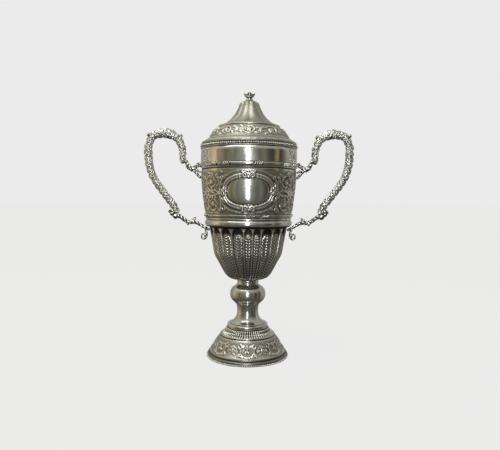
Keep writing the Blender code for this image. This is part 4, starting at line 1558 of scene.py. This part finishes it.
@dataclass
class Lid:
    """The lift-off lid: fluted cone, lip, chased band, flange with a wavy wire and beads, and bezel."""

    columns: int = 540
    pitch: float = 0.00085
    flutes: int = 10
    motifs: int = 10
    beads: int = 140
    bead_radius: float = 0.0018
    bead_height: float = 0.3622
    # Heights, the upper one of each pair first
    bead_shade_band: tuple[float, float] = (0.3648, 0.3598)
    band: tuple[float, float] = (0.3950, 0.3738)
    band_middle: float = 0.3856
    wire: tuple[float, float] = (0.3694, 0.3676)
    bearing: float = 0.3584
    # Lines of painted shade: each one's height and how dark it is
    painted_crease_shade: Lines = ((0.3957, 0.9), (0.3734, 0.8), (0.3675, 0.8))

    def outline(self) -> Array:
        """The whole outline, from the axis at the top to the axis inside.

        Returns:
            The outline as points (radius, height).
        """
        cap = smooth(
            [(0.0006, 0.4425), (0.0070, 0.4425), (0.0108, 0.4422), (0.0142, 0.4409), (0.0168, 0.4384),
             (0.0180, 0.4352)], 4
        )
        cone = smooth(
            [(0.0185, 0.4330), (0.0208, 0.4280), (0.0236, 0.4226), (0.0271, 0.4175), (0.0311, 0.4127),
             (0.0356, 0.4084), (0.0410, 0.4043), (0.0464, 0.4014), (0.0519, 0.3990)], 6
        )
        lip = arc((0.0530, 0.3973), (0.0012, 0.0012), 90, -60, 8)
        band = smooth(
            [(0.0535, 0.3956), (0.0560, 0.3940), (0.0601, 0.3901), (0.0642, 0.3850), (0.0675, 0.3800),
             (0.0712, 0.3760), (0.0746, 0.3736)], 5
        )
        flange = smooth([(0.0758, 0.3731), (0.0786, 0.3710), (0.0804, 0.3695)], 4)
        wire = arc((0.0813, 0.3684), (0.0009, 0.0010), 110, -40, 6)
        rim = np.array(
            [(0.0822, 0.3676), (0.0833, 0.3664), (0.0836, 0.3656), (0.0826, 0.3644), (0.0822, 0.3625),
             (0.0826, 0.3602), (0.0841, 0.3594), (0.0841, 0.3588)]
        )
        under = [
            (0.0840, 0.3584), (0.0805, 0.3583), (0.0805, 0.3503), (0.0789, 0.3503), (0.0789, 0.3640),
            (0.0650, 0.3765)
        ]
        inside = [(0.0560, 0.3880), (0.0300, 0.4065), (0.0208, 0.4170), (0.0152, 0.4290), (0.0015, 0.4395)]
        return np.vstack([cap, cone, lip, band, flange, wire, rim, under, inside])

    def inner(self, points: Array) -> Array:
        """Which points lie on the bezel or on the inner side."""
        return np.arange(len(points)) > np.argmax(points[:, 1] <= self.bearing)

    def motif(self, patch: Patch, draw: np.random.Generator, up: float) -> None:
        """One bay of the band: a leafy scroll that rises or dips in turn, with a flower.

        Args:
            patch: The window that it is drawn in.
            draw: Where the small irregularities come from.
            up: 1 where the scroll rises, -1 where it dips.
        """
        swing = draw.uniform(-8.0, 8.0, 4)
        nudge = draw.uniform(-0.0005, 0.0005, 4)
        ring = coil((0.0, up * 0.0006), (0.0110, 0.0096), -up * 150.0, up * 1.3, 0.36)
        patch.stroke(ring, np.linspace(0.0016, 0.0010, len(ring)), 0.0018)
        patch.rosette((nudge[0], up * 0.0006 + nudge[1]), 0.0052, 0.0021, 5, 90.0 + swing[0])
        for base, heading, length, curl in (
            ((0.0106, up * 0.0012), up * 40.0, 0.0096, up * 40.0),
            ((0.0086, -up * 0.0062), -up * 15.0, 0.0105, up * 35.0),
            ((-0.0090, up * 0.0056), up * 140.0, 0.0095, up * 40.0),
            ((-0.0098, -up * 0.0036), up * 200.0, 0.0095, -up * 30.0),
        ):
            patch.leaf(base, heading + swing[1], length, 0.0022, 0.0019, curl)
        patch.spray((0.0195, -up * 0.0006), 90.0 * up, 0.0078, 0.0019, 3)
        patch.spray((0.0195, -up * 0.0006), -90.0 * up, 0.0070, 0.0018, 3)

    def build(self, studs: Studs) -> None:
        """Makes the lid's pieces.

        Args:
            studs: Where the beads come from.
        """
        form = TurnedForm(self.columns, spaced(self.outline(), self.pitch, self.inner))
        under = form.row_at(self.bearing)
        radius, height = form.outline[:, :1], form.outline[:, 1:]
        on_cone = (np.arange(len(radius)) < form.row_at(0.3992))[:, None]
        wave = 0.5 + 0.5 * np.cos(form.turns * self.flutes)
        below_top = np.clip((0.4424 - height) / 0.0040, 0.0, 1.0) ** 0.6
        reach = below_top * np.clip((height - 0.3990) / 0.0140, 0.0, 1.0) ** 0.5
        cap = np.clip((height - 0.4330) / 0.0060, 0.0, 1.0)
        level = -(0.055 + 0.065 * cap) * radius * (1.0 - (1.0 - wave[None, :]) ** 0.75) * reach * on_cone
        # Painted shade in the cone's flute grooves, stronger towards the cap
        painted_shade_lines = np.exp(-(((wave[None, :] - 1.0) / 0.07) ** 2)) * reach * on_cone * (0.30 + 0.70 * cap)
        work = Chasing(form, *map(form.row_at, self.band))
        draw = np.random.default_rng(SEED + 6)
        middle = form.along[form.row_at(self.band_middle)]
        for k in range(self.motifs):
            patch = work.patch(360.0 * k / self.motifs, middle, 0.034)
            self.motif(patch, draw, 1.0 if k % 2 == 0 else -1.0)
        dents = form.dented(0.00010, SEED + 7)
        dents[under:] = 0.0
        wavy = form.flat()
        wavy[slice(*map(form.row_at, self.wire))] = 0.0002 * np.cos(40.0 * form.turns)
        dark = hollows_and_highlights(work.level, 5, 0.0009)
        dark = np.where(on_cone, painted_shade_lines, dark)
        # Lines of painted shade, and painted shade on the ground behind the beads
        form.painted_shade_lines(dark, self.painted_crease_shade)
        dark[slice(*map(form.row_at, self.bead_shade_band))] = 1.0
        maker = MeshMaker()
        matt = np.maximum(work.ground(0.0006) * 0.45, 0.55 * on_cone)
        maker.grid(form.rings(level + work.level + dents + wavy), dark, matt)
        keep(maker.make("lid_shell", LID_FINISH), "lid")
        beads = spread(form, self.bead_height, self.beads, 0.0010)
        keep(studs.set_in("lid_beads", beads, (self.bead_radius,) * 3, BRIGHT_FINISH), "lid")


@dataclass
class Finial:
    """The cast flower on its small beaded base."""

    columns: int = 96
    petals: int = 4
    knobs: int = 9

    def build(self, studs: Studs) -> None:
        """Makes the finial's pieces.

        Args:
            studs: Where the beads come from.
        """
        cup = smooth([(0.0003, 0.4514), (0.0030, 0.4518), (0.0064, 0.4536), (0.0092, 0.4558)], 6)
        lip = arc((0.0098, 0.4561), (0.0007, 0.0006), 150, -40, 6)
        neck = smooth(
            [(0.0098, 0.4546), (0.0088, 0.4520), (0.0068, 0.4497), (0.0052, 0.4484), (0.0046, 0.4473)], 5
        )
        ring = arc((0.0040, 0.4448), (0.0022, 0.0020), 78, -80, 12)
        outline = divided(np.vstack([cup, lip, neck, ring, [(0.0004, 0.4429)]]), 0.0005)
        form = TurnedForm(self.columns, outline)
        rings = form.rings(form.flat())
        blade = np.clip((rings[:, :, 2] - 0.4492) / 0.0060, 0.0, 1.0)
        wave = 0.5 + 0.5 * np.cos(form.turns * self.petals)[None, :]
        shape = 1.0 - (1.0 - wave**0.6) * 0.42 * blade
        rings[:, :, 0] *= shape
        rings[:, :, 1] *= shape
        rings[:, :, 2] -= 0.0022 * (1.0 - wave) * blade
        maker = MeshMaker()
        # Painted shade in a ring at the neck and between the petals
        dark = np.clip(1.0 - np.abs(rings[:, :, 2] - 0.4482) / 0.0010, 0.0, 1.0)
        maker.grid(rings, np.maximum(dark, 0.7 * (1.0 - wave) * blade))
        keep(maker.make("finial_flower", FINIAL_FINISH), "finial")
        places = []
        for k in range(self.knobs):
            turn = 2.0 * math.pi * k / self.knobs
            centre = Vector((0.0050 * math.sin(turn), -0.0050 * math.cos(turn), 0.4446))
            places.append((centre, Matrix.Identity(3)))
        size = (0.0016, 0.0016, 0.0018)
        keep(studs.set_in("finial_knobs", places, size, FINIAL_FINISH), "finial")


@dataclass
class Handle:
    """One cast scroll handle, made on the +X side and turned to its own side."""

    hand: Hand
    columns: int = 60
    pitch: float = 0.00075
    bay: float = 0.0105
    wind_length: float = 0.0075
    lump_length: float = 0.0058

    # Stations of (x, z, half width in the handle's plane, half depth)
    arm: tuple = (
        (0.1174, 0.3325, 0.0030, 0.0032), (0.1158, 0.3405, 0.0048, 0.0048), (0.1175, 0.3610, 0.0057, 0.0052),
        (0.1262, 0.3770, 0.0062, 0.0056), (0.1400, 0.3845, 0.0081, 0.0068), (0.1520, 0.3852, 0.0076, 0.0064),
        (0.1680, 0.3800, 0.0062, 0.0056), (0.1755, 0.3630, 0.0062, 0.0052), (0.1754, 0.3490, 0.0066, 0.0052),
        (0.1744, 0.3330, 0.0062, 0.0052), (0.1669, 0.3090, 0.0056, 0.0049), (0.1490, 0.2830, 0.0055, 0.0047),
        (0.1305, 0.2590, 0.0056, 0.0046), (0.1245, 0.2440, 0.0043, 0.0040),
    )
    twig: tuple = (
        (0.1255, 0.2450, 0.0031, 0.0032), (0.1205, 0.2405, 0.0037, 0.0034), (0.1170, 0.2384, 0.0034, 0.0032),
        (0.1105, 0.2337, 0.0035, 0.0030), (0.1040, 0.2306, 0.0033, 0.0028), (0.0973, 0.2308, 0.0036, 0.0028),
        (0.0909, 0.2300, 0.0033, 0.0026), (0.0821, 0.2252, 0.0028, 0.0024), (0.0777, 0.2221, 0.0025, 0.0024),
        (0.0720, 0.2192, 0.0024, 0.0026), (0.0674, 0.2172, 0.0023, 0.0028),
    )
    tendril: tuple = (
        (0.0785, 0.2226, 0.0014, 0.0020), (0.0741, 0.2156, 0.0017, 0.0024), (0.0724, 0.2100, 0.0017, 0.0024),
        (0.0736, 0.2042, 0.0017, 0.0024), (0.0777, 0.2012, 0.0016, 0.0023), (0.0814, 0.2040, 0.0015, 0.0021),
        (0.0815, 0.2083, 0.0014, 0.0020), (0.0786, 0.2104, 0.0013, 0.0018), (0.0766, 0.2082, 0.0012, 0.0016),
    )
    bracket: tuple = (
        (0.1106, 0.3422, 0.0018, 0.0020), (0.1084, 0.3330, 0.0033, 0.0028), (0.1046, 0.3264, 0.0043, 0.0032),
        (0.0990, 0.3236, 0.0044, 0.0032), (0.0945, 0.3258, 0.0037, 0.0032), (0.0890, 0.3315, 0.0026, 0.0034),
        (0.0845, 0.3345, 0.0026, 0.0036),
    )
    prop: tuple = (
        (0.0985, 0.3240, 0.0022, 0.0024), (0.0920, 0.3166, 0.0025, 0.0026), (0.0865, 0.3103, 0.0025, 0.0032),
        (0.0834, 0.3074, 0.0025, 0.0034),
    )
    struts: tuple = (
        ((0.0945, 0.3256, 0.0020, 0.0024), (0.0880, 0.3284, 0.0018, 0.0026),
         (0.0852, 0.3296, 0.0018, 0.0028)),
        ((0.0950, 0.3236, 0.0020, 0.0024), (0.0872, 0.3194, 0.0018, 0.0026),
         (0.0836, 0.3174, 0.0018, 0.0028)),
    )
    volute: tuple = (
        (0.1600, 0.3812, 0.0034, 0.0036), (0.1680, 0.3800, 0.0036, 0.0036), (0.1735, 0.3810, 0.0034, 0.0034),
        (0.1768, 0.3838, 0.0029, 0.0030), (0.1779, 0.3864, 0.0019, 0.0023),
    )
    buds: tuple = (
        ((0.1215, 0.3740, 0.0030, 0.0030), (0.1195, 0.3800, 0.0033, 0.0032),
         (0.1182, 0.3846, 0.0012, 0.0014)),
        ((0.1240, 0.3720, 0.0026, 0.0026), (0.1232, 0.3800, 0.0026, 0.0026),
         (0.1238, 0.3850, 0.0010, 0.0010)),
        ((0.1412, 0.3860, 0.0060, 0.0076), (0.1411, 0.3812, 0.0064, 0.0070),
         (0.1410, 0.3762, 0.0044, 0.0046)),
        ((0.1318, 0.2500, 0.0038, 0.0044), (0.1338, 0.2450, 0.0038, 0.0040),
         (0.1338, 0.2412, 0.0018, 0.0020)),
        ((0.1290, 0.2520, 0.0030, 0.0050), (0.1370, 0.2490, 0.0034, 0.0040),
         (0.1388, 0.2462, 0.0012, 0.0014)),
        ((0.1262, 0.2460, 0.0050, 0.0048), (0.1274, 0.2402, 0.0059, 0.0054),
         (0.1277, 0.2356, 0.0030, 0.0030)),
        ((0.0952, 0.2315, 0.0027, 0.0022), (0.0940, 0.2362, 0.0022, 0.0018),
         (0.0920, 0.2398, 0.0010, 0.0010)),
        ((0.0960, 0.2320, 0.0018, 0.0018), (0.0972, 0.2352, 0.0016, 0.0016),
         (0.0986, 0.2370, 0.0008, 0.0008)),
        ((0.1062, 0.2325, 0.0025, 0.0020), (0.1057, 0.2280, 0.0018, 0.0016),
         (0.1051, 0.2248, 0.0008, 0.0008)),
        ((0.0745, 0.2128, 0.0018, 0.0020), (0.0752, 0.2076, 0.0015, 0.0018),
         (0.0770, 0.2046, 0.0008, 0.0010)),
    )

    def member(self, maker: MeshMaker, stations: Sequence, columns: int, rise: float) -> None:
        """Adds a smaller member, with leaf ridges wound along it.

        Args:
            maker: The mesh that it is added to.
            stations: Points (x, z, half width, half depth) along it.
            columns: How many columns go round it.
            rise: The height of its leaf ridges.
        """
        tube = Tube(columns, divided(smooth(stations, 5), self.pitch))
        wind = np.cos(2.0 * tube.turns[None, :] + 2.0 * math.pi * tube.along[:, None] / self.wind_length)
        lump = np.cos(2.0 * math.pi * tube.along / self.lump_length)[:, None]
        level = rise * (0.6 * wind + 0.5 * lump)
        # Painted shade between the wound leaf ridges and painted highlights on them
        maker.grid(tube.rings(level), np.clip(0.25 - 0.9 * wind, -0.8, 0.85))

    def foliage(self, work: Chasing, draw: np.random.Generator) -> None:
        """Scrolls and leaves on both faces of the arm, leaf tips outside and a reed inside.

        Args:
            work: The chased work that they are on.
            draw: Where the small irregularities come from.
        """
        length = float(work.surface.along[-1])
        for k in range(int(length / self.bay)):
            along = (k + 0.6) * self.bay
            swing = float(draw.uniform(-14.0, 14.0))
            for face in (-90.0, 90.0):
                flip = 1.0 if face < 0.0 else -1.0
                lean = 1.0 if k % 2 else -1.0
                patch = work.patch(face, along, 0.0095, flip, 1.0)
                ring = coil((lean * 0.0006, 0.0), (0.0038, 0.0042), 90.0 * lean, lean * 1.15, 0.45)
                patch.stroke(ring, 0.0009, 0.0013)
                patch.bead((lean * 0.0006, 0.0), 0.0012, 0.0016)
                patch.leaf((lean * 0.0036, 0.0030), 120.0 * lean + swing, 0.0068, 0.0015, 0.0015, 30.0 * lean)
                patch.leaf(
                    (-lean * 0.0030, -0.0030), -60.0 * lean - swing, 0.0066, 0.0015, 0.0014, -30.0 * lean
                )
                patch.leaf((-lean * 0.0044, 0.0036), 90.0 + 24.0 * lean, 0.0056, 0.0013, 0.0014)
            edge = work.patch(0.0, along, 0.0090)
            edge.leaf((0.0, -0.0040), 90.0 + swing, 0.0088, 0.0024, 0.0019 + float(draw.uniform(0.0, 0.0005)))
            inner = work.patch(180.0, along, 0.0090)
            inner.leaf((0.0, -0.0040), 90.0 - swing, 0.0080, 0.0019, 0.0013)
        for side in (-1.0, 1.0):
            reed = work.patch(180.0 + side * 24.0, length * 0.72, length * 0.26)
            reed.stroke(np.array([(0.0, -length * 0.18), (0.0, length * 0.16)]), 0.0009, 0.0013)

    def build(self) -> None:
        """Makes the handle."""
        maker = MeshMaker()
        tube = Tube(self.columns, divided(smooth(self.arm, 6), self.pitch))
        work = Chasing(tube)
        self.foliage(work, np.random.default_rng(SEED + 8))
        maker.grid(tube.rings(work.level - 0.0003), hollows_and_highlights(work.level, 2, 0.0007))
        for stations, columns, rise in (
            (self.twig, 24, 0.00055), (self.tendril, 16, 0.0002), (self.bracket, 24, 0.0006),
            (self.prop, 18, 0.0004), (self.struts[0], 14, 0.0003), (self.struts[1], 14, 0.0003),
            (self.volute, 20, 0.0005),
        ):
            self.member(maker, stations, columns, rise)
        for bud in self.buds:
            self.member(maker, bud, 20, 0.0005)
        turn = math.radians(self.hand.value)
        spin = np.array(
            [[math.cos(turn), math.sin(turn), 0.0], [-math.sin(turn), math.cos(turn), 0.0], [0.0, 0.0, 1.0]]
        )
        maker.points = [points @ spin for points in maker.points]
        name = self.hand.name.lower()
        keep(maker.make(f"cast_handle_{name}", HANDLE_FINISH), f"handle_{name}")


@dataclass
class Studio:
    """The pale floor, the soft lights round the cup and the camera at the photograph's place."""

    eye: tuple[float, float, float] = (0.0025, -0.870, 0.270)
    lens: float = 35.8
    sensor: float = 36.0
    shift: float = -0.050
    roll: float = -0.5
    pale: Colour = (0.83, 0.83, 0.83)
    table: Colour = (0.11, 0.105, 0.09)
    ceiling: tuple[Colour, Colour] = ((0.62, 0.60, 0.52), (0.36, 0.36, 0.33))

    # What stands round the room: degrees from the camera's side, positive towards +X, and its colour
    walls: tuple = (
        (-180.0, (0.42, 0.42, 0.40)), (-126.0, (0.36, 0.35, 0.32)), (-112.0, (0.56, 0.46, 0.33)),
        (-86.0, (0.72, 0.58, 0.38)), (-78.0, (0.24, 0.20, 0.13)), (-70.0, (0.36, 0.30, 0.20)),
        (-56.0, (0.13, 0.115, 0.08)), (-38.0, (0.28, 0.26, 0.18)), (-32.0, (0.14, 0.13, 0.11)),
        (-26.0, (0.26, 0.255, 0.22)), (-12.0, (0.27, 0.285, 0.265)), (-7.0, (0.52, 0.56, 0.56)),
        (2.0, (0.55, 0.60, 0.61)), (8.0, (0.27, 0.295, 0.285)), (24.0, (0.10, 0.105, 0.09)),
        (34.0, (0.20, 0.20, 0.15)), (46.0, (0.085, 0.08, 0.06)), (60.0, (0.04, 0.04, 0.03)),
        (71.0, (0.34, 0.27, 0.16)), (79.0, (0.025, 0.02, 0.017)), (90.0, (0.14, 0.135, 0.11)),
        (104.0, (0.42, 0.42, 0.37)), (128.0, (0.34, 0.33, 0.30)), (180.0, (0.42, 0.42, 0.40)),
    )

    def camera(self) -> None:
        """Looks level, with the slight roll and the shift that the photograph has."""
        data = bpy.data.cameras.new("camera")
        data.lens = self.lens
        data.sensor_width = self.sensor
        data.shift_y = self.shift
        data.clip_start = 0.01
        camera = bpy.data.objects.new("camera", data)
        camera.location = self.eye
        camera.rotation_euler = (math.radians(90.0), math.radians(self.roll), 0.0)
        bpy.context.scene.collection.objects.link(camera)
        bpy.context.scene.camera = camera

    def floor(self) -> None:
        """A wide pale floor that the silver doesn't mirror."""
        mesh = bpy.data.meshes.new("floor")
        reach = 30.0
        corners = [(-reach, -reach, 0.0), (reach, -reach, 0.0), (reach, reach, 0.0), (-reach, reach, 0.0)]
        mesh.from_pydata(corners, [], [(0, 1, 2, 3)])
        material = bpy.data.materials.new("pale floor")
        material.use_nodes = True
        shader = material.node_tree.nodes["Principled BSDF"]
        shader.inputs["Base Color"].default_value = (0.08, 0.08, 0.08, 1.0)
        shader.inputs["Roughness"].default_value = 0.9
        shader.inputs["Specular IOR Level"].default_value = 0.0
        shader.inputs["Emission Color"].default_value = (*self.pale, 1.0)
        shader.inputs["Emission Strength"].default_value = 0.945
        mesh.materials.append(material)
        floor = bpy.data.objects.new("floor", mesh)
        floor.visible_glossy = False
        bpy.context.scene.collection.objects.link(floor)

    def light(
        self, name: str, place: Sequence[float], size: Sequence[float], power: float, colour: Colour
    ) -> None:
        """A soft area light that faces the cup.

        Args:
            name: Its name.
            place: Where it stands.
            size: Its width and height.
            power: Its power in watts.
            colour: Its colour.
        """
        data = bpy.data.lights.new(name, "AREA")
        data.shape = "RECTANGLE"
        data.size, data.size_y = size
        data.energy = power
        data.color = colour
        light = bpy.data.objects.new(name, data)
        light.location = place
        aim = Vector((0.0, 0.0, 0.24)) - Vector(place)
        light.rotation_euler = aim.to_track_quat("-Z", "Y").to_euler()
        bpy.context.scene.collection.objects.link(light)

    def room(self) -> None:
        """What the silver mirrors: a dim warm room, darker below, pale behind the cup, seen by no camera."""
        world = bpy.data.worlds.new("room")
        bpy.context.scene.world = world
        world.use_nodes = True
        world.node_tree.nodes.clear()
        w = Wiring(world.node_tree)
        way = w.add("ShaderNodeTexCoord").outputs["Generated"]
        axis = w.add("ShaderNodeSeparateXYZ", {0: way}).outputs
        toward = w.add("ShaderNodeMath", {0: axis[1], 1: -1.0}, operation="MULTIPLY").outputs[0]
        turn = w.add("ShaderNodeMath", {0: axis[0], 1: toward}, operation="ARCTAN2").outputs[0]
        share = w.add("ShaderNodeMapRange", {0: turn, "From Min": -math.pi, "From Max": math.pi}).outputs[0]
        walls = w.add("ShaderNodeValToRGB", {0: share})
        self.ramp(walls.color_ramp, [((degrees + 180.0) / 360.0, colour) for degrees, colour in self.walls])
        ceiling = w.add(
            "ShaderNodeMix", {0: share, 6: (*self.ceiling[0], 1.0), 7: (*self.ceiling[1], 1.0)},
            data_type="RGBA"
        )
        up = w.add("ShaderNodeMapRange", {0: axis[2], "From Min": 0.25, "From Max": 0.80}).outputs[0]
        down = w.add("ShaderNodeMapRange", {0: axis[2], "From Min": -0.15, "From Max": -0.60}).outputs[0]
        upper = w.add("ShaderNodeMix", {0: up, 6: walls.outputs[0], 7: ceiling.outputs[2]}, data_type="RGBA")
        mixed = w.add(
            "ShaderNodeMix", {0: down, 6: upper.outputs[2], 7: (*self.table, 1.0)}, data_type="RGBA"
        )
        seen = w.add("ShaderNodeBackground", {"Color": (*self.pale, 1.0)}).outputs[0]
        mirrored = w.add("ShaderNodeBackground", {"Color": mixed.outputs[2]}).outputs[0]
        camera_ray = w.add("ShaderNodeLightPath").outputs["Is Camera Ray"]
        both = w.add("ShaderNodeMixShader", {0: camera_ray, 1: mirrored, 2: seen}).outputs[0]
        w.add("ShaderNodeOutputWorld", {"Surface": both})

    def ramp(self, ramp: bpy.types.ColorRamp, stops: Sequence[tuple[float, Colour]]) -> None:
        """Sets a colour ramp's stops.

        Args:
            ramp: The colour ramp.
            stops: The place and colour of each stop.
        """
        elements = ramp.elements
        while len(elements) > 1:
            elements.remove(elements[-1])
        for number, (position, colour) in enumerate(stops):
            stop = elements[0] if number == 0 else elements.new(position)
            stop.position = position
            stop.color = (*colour, 1.0)

    def build(self) -> None:
        """Sets up the whole studio."""
        bpy.context.scene.view_settings.view_transform = "Standard"
        self.camera()
        self.floor()
        self.light("strip", (-0.05, -1.55, 0.45), (0.15, 1.5), 5.5, (0.97, 1.0, 1.0))
        self.light("overhead", (-0.35, -0.45, 1.7), (1.3, 0.8), 6.0, (1.0, 0.98, 0.93))
        self.room()


def main() -> None:
    """Sets up the studio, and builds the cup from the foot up."""
    logging.basicConfig(level=logging.INFO, format="%(name)s %(message)s")
    studio = Studio()
    studio.build()
    studs, lathe = Studs(), Lathe()
    Foot().build(studs)
    Stem().build(lathe)
    Cup().build(studs)
    Bowl().build()
    Lid().build(studs)
    Finial().build(studs)
    for hand in Hand:
        Handle(hand).build()


if __name__ == "__main__":
    main()
